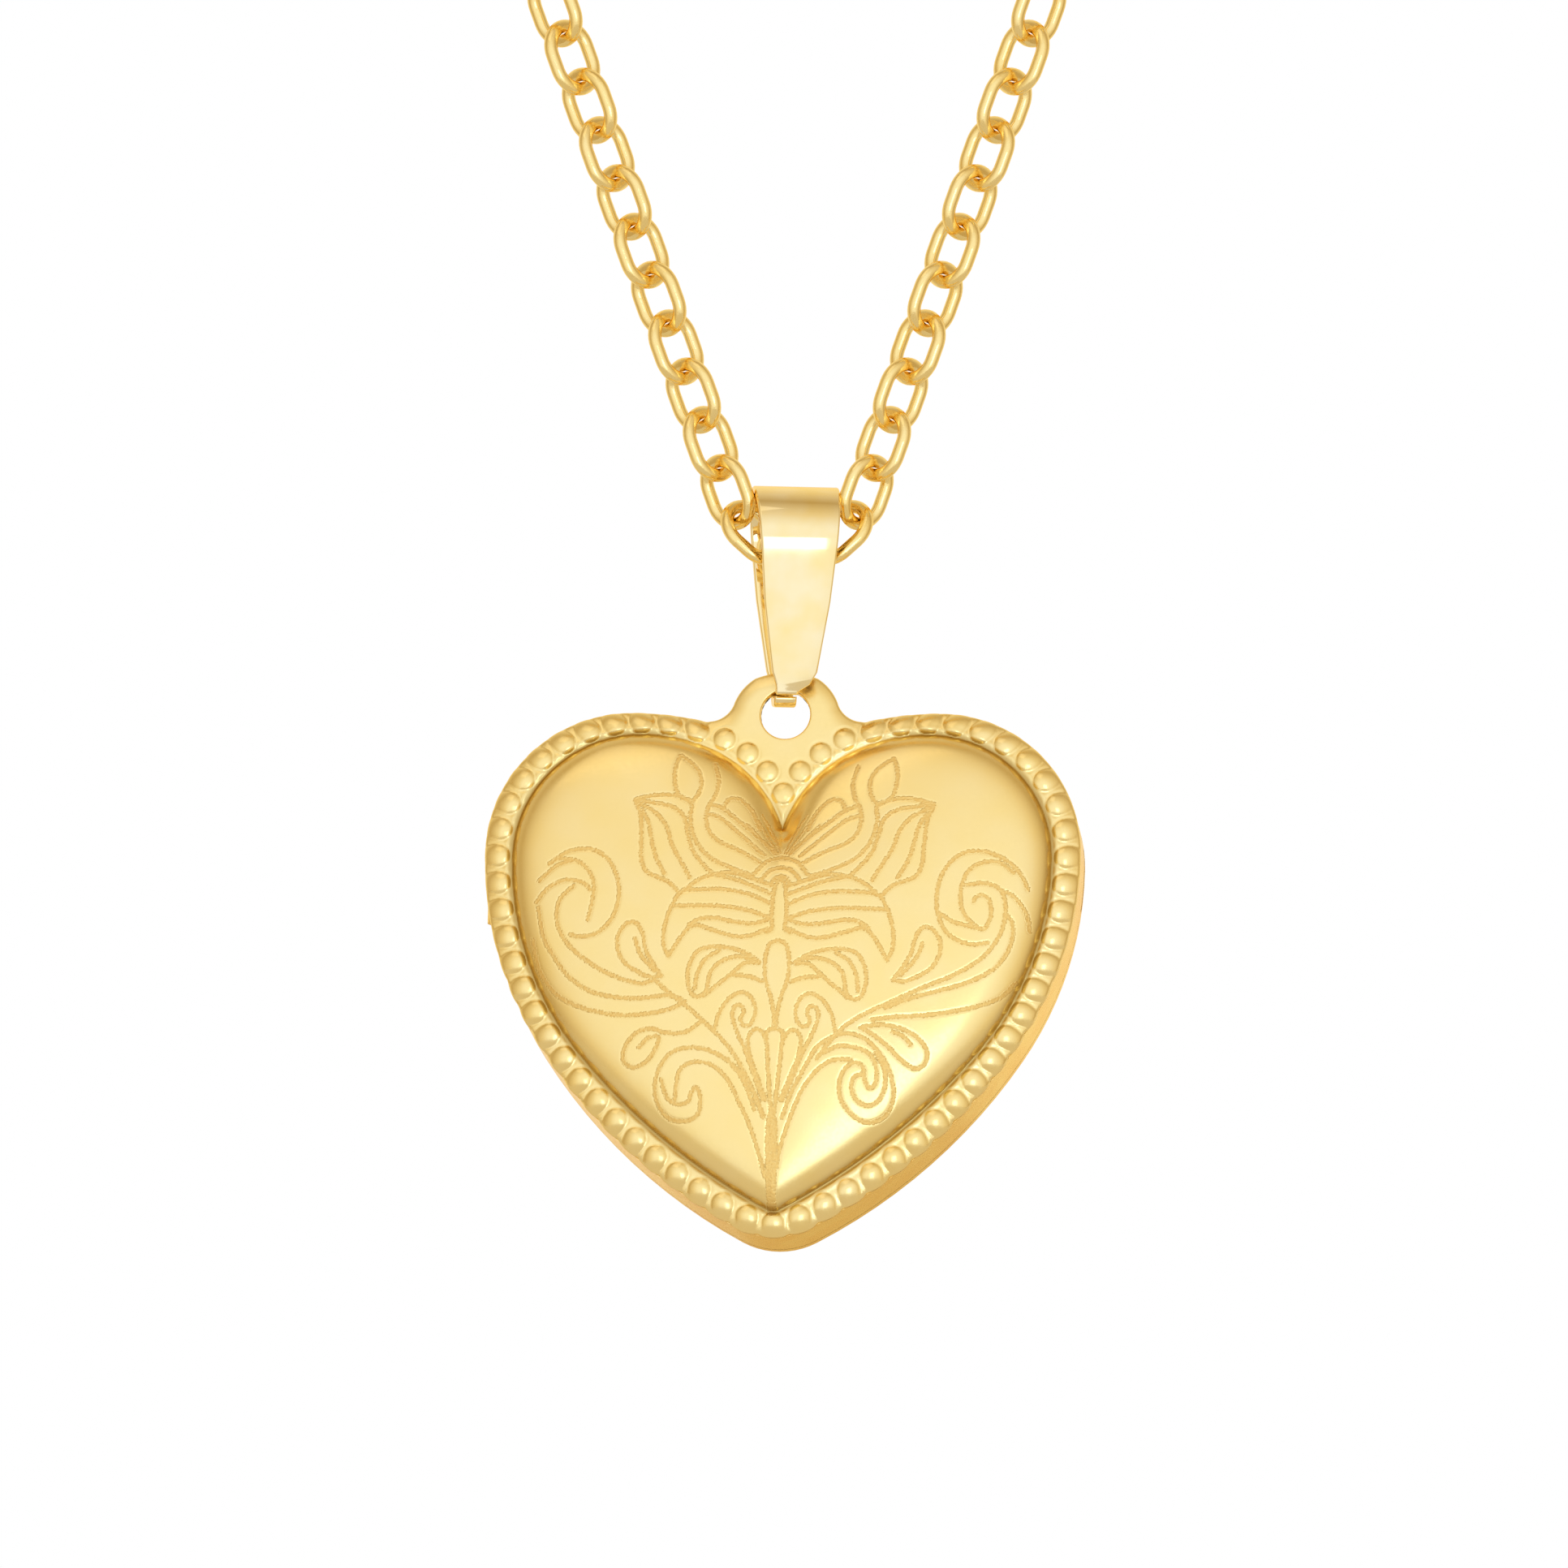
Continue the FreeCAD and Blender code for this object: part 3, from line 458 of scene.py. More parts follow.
MIRRORED = {
    "fan": [
        [(0, -6.15), (0.6, -6.35), (1.1, -6.9)],
        [(0, -6.6), (0.45, -6.75), (0.8, -7.15)],
        [(0, -6.98), (0.25, -7.1), (0.38, -7.35)],
    ],
    "spindle": [
        [(0, -7.1), (0.2, -7.4), (0.28, -8.0), (0.3, -8.7), (0.27, -9.2), (0.5, -9.35)],
    ],
    "petal": [
        [(0.32, -7.4), (1.2, -7.1), (2.0, -6.88), (2.7, -6.95), (3.3, -7.15), (4.05, -7.7)],
        [(0.35, -7.75), (1.2, -7.4), (1.9, -7.15), (2.7, -6.98)],
        [(0.4, -8.15), (1.2, -7.8), (2.2, -7.6), (3.2, -7.6), (4.05, -7.72), (4.45, -8.35),
         (4.7, -9.2), (4.7, -9.9), (4.5, -10.4)],
        [(0.4, -8.75), (1.3, -8.45), (2.4, -8.3), (3.4, -8.28), (4.4, -8.3)],
        [(0.4, -8.8), (1.0, -9.0), (1.8, -8.95), (2.6, -8.8), (3.2, -8.82), (3.7, -9.1)],
        [(0.4, -9.2), (1.1, -9.5), (1.8, -9.55), (2.7, -9.3), (3.45, -9.1), (3.9, -9.45),
         (4.5, -10.4)],
    ],
    "upper_leaf": [
        [(3.8, -3.95), (4.3, -3.68), (4.9, -3.58), (5.5, -3.64), (6.15, -3.8)],
        [(6.15, -3.8), (5.3, -3.95), (4.6, -4.1), (4.12, -4.5), (3.95, -5.1), (3.7, -5.9),
         (3.25, -6.5), (2.8, -6.95)],
        [(6.1, -3.9), (5.3, -4.35), (4.8, -4.95), (4.55, -5.7), (4.15, -6.4), (3.75, -7.1)],
        [(5.85, -4.25), (5.55, -4.8), (5.4, -5.5), (5.2, -6.2), (4.8, -6.95)],
        [(6.15, -3.85), (5.9, -4.5), (5.82, -5.4), (5.78, -6.3), (5.55, -6.85), (5.05, -7.1),
         (4.6, -7.3), (4.15, -7.75)],
    ],
    "bud": [
        [(3.82, -3.9), (3.52, -3.4), (3.5, -2.8), (3.8, -2.3), (4.4, -1.85)],
        [(4.4, -1.85), (4.58, -2.4), (4.55, -3.1), (4.35, -3.6), (3.82, -3.9), (3.85, -4.5),
         (3.72, -5.2), (3.4, -5.8), (2.85, -6.3), (2.0, -6.7), (1.2, -6.98)],
    ],
    "flow": [
        [(2.95, -2.2), (2.78, -2.9), (2.85, -3.5), (3.1, -4.0), (3.2, -4.5), (3.05, -5.1),
         (2.6, -5.55), (1.7, -5.95), (0.9, -6.4)],
        [(3.0, -3.95), (2.5, -4.15), (1.8, -4.7), (0.8, -5.5), (0.35, -5.95)],
        [(3.15, -4.35), (2.6, -4.55), (1.9, -5.1), (0.75, -6.1)],
        [(1.0, -4.95), (1.35, -4.2), (1.85, -3.7), (2.3, -3.72), (2.55, -4.15)],
    ],
    "upper_drop": [
        [(4.75, -11.2), (5.05, -10.8), (5.45, -10.1), (5.6, -9.45), (5.9, -9.0), (6.3, -9.05),
         (6.62, -9.55), (6.6, -10.1), (6.3, -10.65), (5.7, -11.05), (5.2, -11.25), (4.75, -11.2)],
        [(5.05, -11.0), (5.55, -10.45), (5.8, -10.0), (5.9, -9.65)],
    ],
    "middle_leaf": [
        [(0.72, -10.6), (1.2, -10.3), (1.9, -10.05), (2.7, -10.0), (3.3, -10.2), (3.62, -10.8),
         (3.65, -11.4), (3.5, -11.9), (3.2, -12.05), (2.9, -11.85), (2.8, -11.4), (2.7, -11.0),
         (2.3, -10.6), (1.7, -10.4), (1.1, -10.45)],
        [(2.4, -10.15), (2.95, -10.5), (3.25, -11.05), (3.35, -11.7)],
        [(0.75, -10.65), (1.3, -10.65), (1.85, -11.1), (2.4, -11.55), (2.95, -12.0)],
        [(0.6, -11.4), (1.1, -11.22), (1.75, -11.15)],
    ],
    "middle_bud": [
        [(0, -9.68), (0.36, -9.9), (0.5, -10.6), (0.45, -11.3), (0.22, -12.0), (0.07, -12.7),
         (0.05, -13.25)],
    ],
    "small_spiral": [
        [(2.5, -13.45), (2.3, -12.7), (1.9, -12.1), (1.4, -11.87), (1.0, -12.1), (0.82, -12.65),
         (1.0, -13.15), (1.3, -13.2), (1.42, -12.95), (1.3, -12.65), (1.42, -12.4),
         (1.68, -12.45), (1.75, -12.9), (1.5, -13.6), (1.15, -14.3), (0.85, -15.1), (0.4, -16.2)],
    ],
    "tulip": [
        [(0, -13.3), (0.32, -13.5), (0.28, -14.3), (0.18, -15.5), (0.06, -16.8)],
        [(0.32, -13.85), (0.55, -13.45), (0.85, -13.38), (1.08, -13.75), (1.0, -14.4),
         (0.7, -15.2), (0.3, -16.2)],
    ],
    "rays": [
        [(0.1, -5.95), (0.5, -5.0), (0.95, -4.3)],
        [(0.2, -6.0), (0.75, -5.1), (1.35, -4.1)],
        [(0.3, -6.05), (0.9, -5.35), (1.5, -4.75)],
    ],
}
RIGHT = {
    "scroll": [
        [(10.1, -7.2), (9.75, -6.55), (9.1, -6.0), (8.2, -5.72), (7.4, -5.85), (6.75, -6.45),
         (6.45, -7.3), (6.45, -8.2), (6.75, -9.0), (7.3, -9.45), (7.95, -9.6), (8.55, -9.5)],
        [(9.5, -6.55), (8.9, -6.15), (8.2, -6.2), (7.65, -6.6), (7.4, -7.3), (7.42, -8.0),
         (7.65, -8.5), (8.15, -8.92), (8.45, -8.88), (8.65, -8.3), (8.55, -7.75), (8.3, -7.55),
         (8.0, -7.65), (7.92, -7.85)],
        [(7.6, -7.15), (8.3, -7.05), (8.95, -7.25), (9.2, -7.85), (9.2, -8.5), (9.05, -9.1),
         (8.7, -9.7), (8.2, -10.25), (7.2, -10.9), (6.0, -11.45), (4.7, -12.1), (3.7, -12.6),
         (2.9, -13.1)],
        [(6.6, -8.4), (7.1, -8.7), (7.6, -8.82), (8.1, -8.92)],
        [(9.2, -8.25), (9.5, -8.6), (9.52, -9.3), (9.25, -10.0), (8.7, -10.65), (7.7, -11.2),
         (6.5, -11.6), (5.4, -11.95), (4.5, -12.35)],
        [(9.0, -7.3), (9.55, -7.55), (10.05, -8.2), (10.2, -8.9)],
        [(9.7, -11.0), (9.1, -11.65), (8.2, -12.1), (7.1, -12.4), (6.0, -12.6), (4.9, -12.7),
         (3.95, -12.85)],
    ],
    "lower_drop": [
        [(3.6, -13.15), (4.3, -13.05), (5.1, -13.15), (5.8, -13.5), (6.2, -14.0), (6.15, -14.5),
         (5.75, -14.75), (5.2, -14.45), (4.6, -13.9), (4.0, -13.45), (3.5, -13.2)],
        [(4.8, -13.3), (5.2, -13.45), (5.55, -13.8)],
    ],
    "spiral": [
        [(0.4, -16.9), (0.75, -15.9), (1.25, -14.9), (1.7, -14.1), (2.2, -13.7), (2.85, -13.45),
         (3.6, -13.6), (4.3, -14.2), (4.75, -15.0), (4.9, -15.9), (4.6, -16.65), (3.95, -16.98),
         (3.3, -16.75), (2.8, -16.15), (2.7, -15.45), (2.9, -14.9), (3.3, -14.62), (3.65, -14.8),
         (3.7, -15.25), (3.9, -15.6), (4.15, -15.45), (4.2, -14.9), (3.95, -14.3), (3.3, -14.0),
         (2.6, -13.98), (1.95, -14.3)],
        [(0.22, -18.9), (0.32, -18.2), (0.6, -17.3), (0.95, -16.3), (1.35, -15.5), (1.85, -14.9),
         (2.4, -14.55), (3.1, -14.5)],
        [(3.65, -15.05), (3.3, -15.2), (3.2, -15.65), (3.4, -16.1), (3.85, -16.32), (4.3, -16.1),
         (4.55, -15.5), (4.5, -14.8), (4.15, -14.15)],
    ],
    "stem": [
        [(2.9, -13.1), (2.3, -13.75), (1.75, -14.5)],
    ],
}
LEFT = {
    "scroll": [
        [(-9.6, -6.5), (-8.8, -6.0), (-7.9, -5.92), (-7.2, -6.3), (-6.75, -7.1), (-6.65, -8.0),
         (-6.95, -8.9), (-7.6, -9.45), (-8.3, -9.55), (-8.6, -9.45)],
        [(-9.35, -6.3), (-8.6, -6.35), (-8.0, -6.75), (-7.7, -7.4), (-7.75, -8.1), (-7.9, -8.85)],
        [(-7.85, -7.6), (-8.2, -7.3), (-8.9, -7.2), (-9.6, -7.5), (-10.1, -8.1)],
        [(-8.55, -7.45), (-9.1, -8.0), (-9.2, -8.8), (-8.95, -9.5), (-8.4, -10.15),
         (-7.5, -10.8), (-6.7, -11.2), (-5.7, -11.5), (-5.1, -11.4)],
        [(-10.0, -8.3), (-9.75, -9.5), (-9.3, -10.3), (-8.7, -11.1), (-7.8, -11.75),
         (-6.7, -12.05), (-5.5, -12.1), (-4.5, -12.0), (-3.9, -12.15)],
        [(-10.2, -9.6), (-9.9, -10.8), (-9.2, -11.8), (-8.3, -12.35), (-7.3, -12.65),
         (-6.2, -12.8), (-5.0, -12.7), (-4.2, -12.5), (-3.75, -12.25)],
        [(-10.0, -7.2), (-9.3, -6.6), (-8.6, -6.35)],
    ],
    "lower_drop": [
        [(-3.1, -13.1), (-3.7, -13.5), (-4.5, -13.52), (-5.1, -13.35), (-5.7, -13.5),
         (-6.15, -14.0), (-6.25, -14.6), (-5.85, -14.9), (-5.3, -14.7), (-4.9, -14.15),
         (-4.8, -13.7), (-5.2, -13.72), (-5.6, -14.1)],
    ],
    "curl": [
        [(-0.35, -16.9), (-0.9, -15.7), (-1.6, -14.9), (-2.4, -14.35), (-3.3, -14.12),
         (-4.2, -14.3), (-4.75, -15.0), (-4.9, -15.8), (-4.7, -16.5), (-4.2, -16.98),
         (-3.5, -17.05), (-3.05, -16.75), (-3.0, -16.1), (-3.2, -15.72), (-3.4, -16.0),
         (-3.5, -16.3), (-3.95, -16.4), (-4.4, -16.1), (-4.65, -15.4)],
        [(-4.05, -16.25), (-4.0, -15.6), (-3.85, -15.0), (-3.35, -14.72), (-2.6, -14.8),
         (-1.9, -15.4), (-1.4, -16.3), (-0.95, -17.2), (-0.55, -18.3), (-0.25, -19.3)],
        [(-1.9, -14.6), (-1.2, -15.5), (-0.75, -16.6)],
    ],
    "stem": [
        [(-5.1, -11.3), (-4.4, -11.9), (-3.6, -12.5), (-2.8, -13.2), (-2.1, -13.85),
         (-1.5, -14.6), (-0.9, -15.7), (-0.4, -16.9)],
    ],
}
RAY_HALF = 0.04
# the stem is a filled band: its middle's points, each with half its width
STEM_FILL = [((-0.02, -16.6), 0.12), ((-0.02, -17.3), 0.25), ((-0.02, -18.3), 0.24),
             ((0.0, -19.3), 0.22), ((0.02, -20.6), 0.17)]


def smooth_curve(points, step=0.04):
    """Points along a Catmull-Rom curve through the given points."""
    points = np.array(points, float)
    before = np.vstack([2 * points[0] - points[1], points[:-1]])
    after = np.vstack([points[1:], 2 * points[-1] - points[-2]])
    tangents = (after - before) / 2
    curve = []
    for i in range(len(points) - 1):
        count = max(2, math.ceil(np.hypot(*(points[i + 1] - points[i])) / step))
        t = (np.arange(count) / count)[:, None]
        curve.append(
            (2 * t ** 3 - 3 * t ** 2 + 1) * points[i] + (t ** 3 - 2 * t ** 2 + t) * tangents[i]
            + (3 * t ** 2 - 2 * t ** 3) * points[i + 1] + (t ** 3 - t ** 2) * tangents[i + 1])
    return np.vstack(curve + [points[-1:]])


def strokes():
    """Every engraved line: its points and half its width."""
    for name, lines in MIRRORED.items():
        half = RAY_HALF if name == "rays" else LINE_HALF
        for line in lines:
            curve = smooth_curve(line)
            yield curve, half
            yield curve * [-1, 1], half
    for side in (RIGHT, LEFT):
        for lines in side.values():
            for line in lines:
                yield smooth_curve(line), LINE_HALF
    centres = smooth_curve([point for point, _ in STEM_FILL])
    halves = np.interp(-centres[:, 1], [-point[1] for point, _ in STEM_FILL],
                       [half for _, half in STEM_FILL])
    yield centres, halves


def placed(curve):
    """Pattern points moved onto the heart: it hangs a little askew of the hole."""
    turn = math.radians(PATTERN_TURN)
    x = curve[:, 0] + PATTERN_OFFSET + curve[:, 1] * turn
    return x, curve[:, 1] * PATTERN_STRETCH - PATTERN_DROP - curve[:, 0] * turn


def etch_field():
    """1 where the cover is engraved, with a soft border, and 0 elsewhere, on the fine grid."""
    distance = np.full(FIELD_X.shape, 1.0)
    reach, soft = 7, 0.04
    steps = np.arange(-reach, reach + 1)
    for curve, half in strokes():
        x, z = placed(curve)
        i = np.round((x - GRID_X[0]) / GRID).astype(int)[:, None, None] + steps[None, :, None]
        k = np.round((z - GRID_Z[0]) / GRID).astype(int)[:, None, None] + steps[None, None, :]
        i, k = np.broadcast_arrays(i, k)
        away = np.hypot(GRID_X[i] - x[:, None, None], GRID_Z[k] - z[:, None, None])
        away = away - np.broadcast_to(half, len(curve))[:, None, None]
        np.minimum.at(distance, (i.ravel(), k.ravel()), away.ravel())
    return 1 - smooth_share(distance, -soft, soft)


ETCH = etch_field()


# ---------------------------------------------------------------- relief of the cover

def front_relief(x, z):
    """Height of the stamped front over the flange's flat face."""
    foot = foot_inset(x, z)
    edge = arcs_distance(EDGE, x, z)
    lug = smooth_share(z, LUG_FROM, LUG_FULL) * (np.abs(x) < NOTCH_HALF)
    to_edge = 1 - np.clip(edge / (SHOULDER_WIDTH - LUG_WIDTH_LESS * lug), 0, 1)
    shoulder = (SHOULDER_DROP - LUG_DROP_LESS * lug) * to_edge ** 2
    groove = GROOVE_DEPTH * np.exp(-((foot + 0.02) / GROOVE_WIDTH) ** 2)
    lip = LIP_HEIGHT * np.exp(-((foot + LIP_INSET) / LIP_WIDTH) ** 2)
    crease_fade = smooth_share(z, CREASE_END, CREASE_FULL) * smooth_share(foot, 0.0, 0.6)
    crease = CREASE_DEPTH * np.exp(-(np.abs(x - 0.05) / CREASE_WIDTH) ** 1.4) * crease_fade
    beads = bead_relief(x, z) * (foot < 0.05)
    relief = dome(x, z, foot) - shoulder - groove + lip - crease + beads
    return relief - LINE_DEPTH * lookup(ETCH, x, z)


def hollow_relief(x, z):
    """Height of the inner face over the flange's face: the dome, a sheet further in."""
    foot = foot_inset(x, z) - SHEET
    return np.where(foot > 0, dome(x, z, np.maximum(foot, 0)), 0) - SHEET


# ---------------------------------------------------------------- mesh building

class Builder:
    """Collects points (x, y, z) in mm and faces."""

    def __init__(self):
        self.points = []
        self.faces = []
        self.count = 0

    def add(self, x, y, z):
        """Adds points and returns their numbers."""
        numbers = np.arange(self.count, self.count + len(x))
        self.points.append(np.column_stack([x, y, z]))
        self.count += len(x)
        return numbers

    def strip(self, a, b, flip=False):
        """Quads between two closed loops of as many points."""
        a_next, b_next = np.roll(a, -1), np.roll(b, -1)
        quads = np.column_stack([a, a_next, b_next, b] if flip else [a, b, b_next, a_next])
        self.faces += quads.tolist()

    def mesh(self, name):
        mesh = bpy.data.meshes.new(name)
        mesh.from_pydata(np.vstack(self.points).tolist(), [], self.faces)
        mesh.update()
        return mesh


def offset(loop, normals, inset):
    """The loop drawn in by inset, which is one number or one for each point."""
    return loop - normals * np.reshape(inset, (-1, 1))


def free_points(x, z, xs, zs, spacing, outer, holes):
    """True at grid points that are inside the sheet and clear of its loops."""
    margin = 0.7 * spacing
    free = inside_loop(outer, x, z)
    near_edge = free & (arcs_distance(EDGE, x, z) < margin + EDGE_ROUND + SCALLOP + spacing)
    clear = np.full(x.shape, 1e9)
    for px, pz in outer:
        patch = np.ix_(np.abs(xs - px) < margin * 1.5, np.abs(zs - pz) < margin * 1.5)
        clear[patch] = np.minimum(clear[patch], np.hypot(x[patch] - px, z[patch] - pz))
    free &= ~near_edge | (clear > margin)
    for hole, _ in holes:
        free &= np.hypot(x, z) > np.hypot(*hole[0]) + margin
    return free


def border_edges(cells):
    """The open sides of the kept cells, each as its two grid points."""
    padded = np.pad(cells, 1)
    here = padded[1:-1, 1:-1]
    sides = (
        (here & ~padded[1:-1, :-2], (0, 0), (1, 0)), (here & ~padded[1:-1, 2:], (0, 1), (1, 1)),
        (here & ~padded[:-2, 1:-1], (0, 0), (0, 1)), (here & ~padded[2:, 1:-1], (1, 0), (1, 1)),
    )
    for open_side, a, b in sides:
        for i, k in np.argwhere(open_side):
            yield (i + a[0], k + a[1]), (i + b[0], k + b[1])


def fill_sheet(builder, spacing, loops, relief, facing):
    """Fills the area between the loops with a grid, and joins it to them by triangles.

    loops is a list of (points, numbers): the outer one first, then the holes, all clockwise.
    facing is 1 when the front shows and -1 when the back does.
    """
    xs, zs = grid_axes(spacing)
    x, z = np.meshgrid(xs, zs, indexing="ij")
    outer, holes = loops[0][0], loops[1:]
    free = free_points(x, z, xs, zs, spacing, outer, holes)
    cells = free[:-1, :-1] & free[1:, :-1] & free[:-1, 1:] & free[1:, 1:]
    used = np.zeros(x.shape, bool)
    for corner in (used[:-1, :-1], used[1:, :-1], used[:-1, 1:], used[1:, 1:]):
        corner |= cells
    numbers = np.full(x.shape, -1)
    numbers[used] = builder.add(x[used], -relief(x[used], z[used]), z[used])
    quads = np.stack([numbers[:-1, :-1], numbers[1:, :-1], numbers[1:, 1:], numbers[:-1, 1:]], -1)
    quads = quads[cells]
    builder.faces += (quads if facing > 0 else quads[:, ::-1]).tolist()

    places, ids, edges, seen = [], [], [], {}

    def place(number, at):
        if number not in seen:
            seen[number] = len(places)
            places.append(Vector(at))
            ids.append(number)
        return seen[number]

    for ends in border_edges(cells):
        edges.append([place(int(numbers[i, k]), (xs[i], zs[k])) for i, k in ends])
    for points, loop_numbers in loops:
        order = [place(int(number), at) for number, at in zip(loop_numbers, points)]
        edges += [[order[j - 1], order[j]] for j in range(len(order))]
    corners, _, triangles, sources, _, _ = geometry.delaunay_2d_cdt(
        places, edges, [], 1, 1e-7, True)
    middles = np.array([sum((corners[v] for v in face), Vector((0, 0))) / 3 for face in triangles])
    i, k = ((middles - (xs[0], zs[0])) / spacing).astype(int).T
    wanted = inside_loop(outer, *middles.T) & ~cells[i, k]
    for hole, _ in holes:
        wanted &= np.hypot(*middles.T) > np.hypot(*hole[0]) * 0.98
    for face in (face for face, keep in zip(triangles, wanted) if keep):
        face_ids = [ids[sources[v][0]] for v in face]
        a, b, c = (corners[v] for v in face[:3])
        turn = (b - a).cross(c - a)
        builder.faces.append(face_ids if turn * facing > 0 else face_ids[::-1])


def sheet_loops(builder, loop, normals, relief, hole):
    """Rounded front edge of a loop, then its wall.

    Returns the points and numbers of the loop on the front, and the same for the back.
    """
    first = None
    last = None
    for share in (1.0, 0.55, 0.22, 0.0):
        inset = EDGE_ROUND * share
        drop = EDGE_ROUND - math.sqrt(EDGE_ROUND ** 2 - (EDGE_ROUND - inset) ** 2)
        ring = offset(loop, normals, inset)
        height = relief(ring[:, 0], ring[:, 1]) - drop * 0.8
        numbers = builder.add(ring[:, 0], -height, ring[:, 1])
        if last is None:
            first = (ring, numbers)
        else:
            builder.strip(last, numbers, flip=not hole)
        last = numbers
    back = builder.add(loop[:, 0], np.full(len(loop), SHEET), loop[:, 1])
    builder.strip(last, back, flip=not hole)
    return first, (loop, back)


def hole_loop():
    """The lug's hole, and its normals, which point at its middle."""
    count = 72
    angles = np.arange(count) * 2 * PI / count
    loop = np.column_stack([np.sin(angles), np.cos(angles)]) * HOLE_RADIUS
    return loop, -loop / HOLE_RADIUS


def add_shares(mesh, points):
    """Stores how much of each point is engraved, and how much gets painted shade: along the dome's
    foot, and as a painted shadow in the seam at the back of the edge's wall.
    """
    x, y, z = points.T
    on_front = y < SHEET * 0.6
    etch = lookup(ETCH, x, z) * on_front
    # painted shadow: a dark band on the back of the edge's wall, where the cover meets the rim
    painted_seam_shadow = (y > SHEET - 0.01) & (arcs_distance(EDGE, x, z) < SCALLOP + 0.02)
    away_from_notch = smooth_share(np.hypot(x, z), 3, 6)
    # painted shade along the dome's foot, fading out near the notch, plus the seam's painted shadow
    groove = np.exp(-(foot_inset(x, z) / GROOVE_SHADE) ** 2) * on_front * away_from_notch + painted_seam_shadow
    for name, values in (("etch", etch), ("groove", groove)):
        attribute = mesh.attributes.new(name, "FLOAT", "POINT")
        attribute.data.foreach_set("value", values.astype(np.float32))


def cover_mesh():
    """The stamped sheet: front, rounded edges, walls and hollow inside."""
    builder = Builder()
    edge = offset(EDGE_LOOP, EDGE_NORMALS, scallop_depth(EDGE_LOOP, EDGE_NORMALS))
    front_edge, back_edge = sheet_loops(builder, edge, EDGE_NORMALS, front_relief, False)
    hole, hole_normals = hole_loop()
    front_hole, back_hole = sheet_loops(builder, hole, hole_normals, front_relief, True)
    fill_sheet(builder, GRID, [front_edge, front_hole], front_relief, 1)
    fill_sheet(builder, BACK_GRID, [back_edge, back_hole], hollow_relief, -1)
    mesh = builder.mesh("stamped_cover")
    add_shares(mesh, np.vstack(builder.points))
    return mesh


def add_piece(name, mesh, matrix, body, replaced):
    """Moves a mesh into the shared frame, and puts it in the place of a CAD node."""
    mesh.transform(matrix)
    mesh.polygons.foreach_set("use_smooth", [True] * len(mesh.polygons))
    mesh.update()
    piece = bpy.data.objects.new(name, mesh)
    bpy.context.scene.collection.objects.link(piece)
    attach(piece, body)
    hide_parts(replaced)
    return piece


# ---------------------------------------------------------------- bail

BAIL_SHEET = 0.4
BAIL_EDGE = 0.09
BAIL_SLOPE = math.radians(10)
BAIL_ARCH = 2.0
BAIL_HOOK = 0.5
BAIL_HOOK_LOW = -6.68
BAIL_TIP = 0.25
BAIL_TIP_Y = -0.2
# heights of the leaves' stations; the front leaf has more of them near its rounded end
FRONT_LEAF = (-6.33, -6.2, -6.05, -5.9, -5.65, -5.4, -4.4, -2.5, -1.2)
BACK_LEAF = (-1.2, -2.5, -4.4, -5.4, -5.9)
# the face's outline: (height, half width) on either side
BAIL_RIGHT = ((2.4, 1.8), (-2.5, 1.36), (-5.4, 0.93), (-5.9, 0.65), (-6.2, 0.17), (-8, 0.17))
BAIL_LEFT = ((2.4, 1.8), (-2.5, 1.36), (-5.4, 0.93), (-6.0, 0.74), (-8, 0.74))


def bend(centre, radius, first, turn, shares):
    """Stations of the strip round a bend: (y, z) points and outward normals."""
    stations = []
    for share in shares:
        angle = first - turn * share
        way = (math.cos(angle), math.sin(angle))
        stations.append(((centre[0] + radius * way[0], centre[1] + radius * way[1]), way))
    return stations


def leaf_y(z):
    """How far the back leaf's middle is behind the arch's middle, and the front leaf's before it."""
    side, drop = BAIL_ARCH * math.cos(BAIL_SLOPE), -BAIL_ARCH * math.sin(BAIL_SLOPE)
    return side - (drop - z) * math.tan(BAIL_SLOPE)


def bail_centre_line():
    """Stations of the strip's middle, from the end of the front leaf to the hook's tip."""
    slope = BAIL_SLOPE
    out, down = math.cos(slope), -math.sin(slope)
    hook_z = BAIL_HOOK_LOW + BAIL_HOOK
    hook_y = leaf_y(hook_z - BAIL_HOOK * math.sin(slope)) - BAIL_HOOK * math.cos(slope)
    tip = (BAIL_TIP_Y, BAIL_HOOK_LOW + BAIL_TIP)
    stations = [((-leaf_y(z), z), (-out, down)) for z in FRONT_LEAF]
    stations += bend((0, 0), BAIL_ARCH, PI + slope, PI + 2 * slope, np.arange(41) / 40)
    stations += [((leaf_y(z), z), (out, down)) for z in BACK_LEAF]
    stations += bend((hook_y, hook_z), BAIL_HOOK, -slope, PI / 2 - slope, np.arange(9) / 8)
    stations.append(((BAIL_TIP_Y, BAIL_HOOK_LOW), (0, -1)))
    stations += bend(tip, BAIL_TIP, -PI / 2, PI / 2, np.arange(1, 7) / 6)
    return stations


def bail_section(left, right):
    """Rounded outline of the strip's section: (across, outward) points."""
    half = BAIL_SHEET / 2
    corners = ((right, half, 0), (right, -half, 1), (-left, -half, 2), (-left, half, 3))
    section = []
    for across, out, quarter in corners:
        centre = (across - math.copysign(BAIL_EDGE, across), out - math.copysign(BAIL_EDGE, out))
        for i in range(5):
            angle = PI / 2 * (1 - quarter) - i * PI / 8
            section.append((centre[0] + BAIL_EDGE * math.cos(angle),
                            centre[1] + BAIL_EDGE * math.sin(angle)))
    return section


def half_width(outline, z):
    return np.interp(-z, [-height for height, _ in outline], [half for _, half in outline])


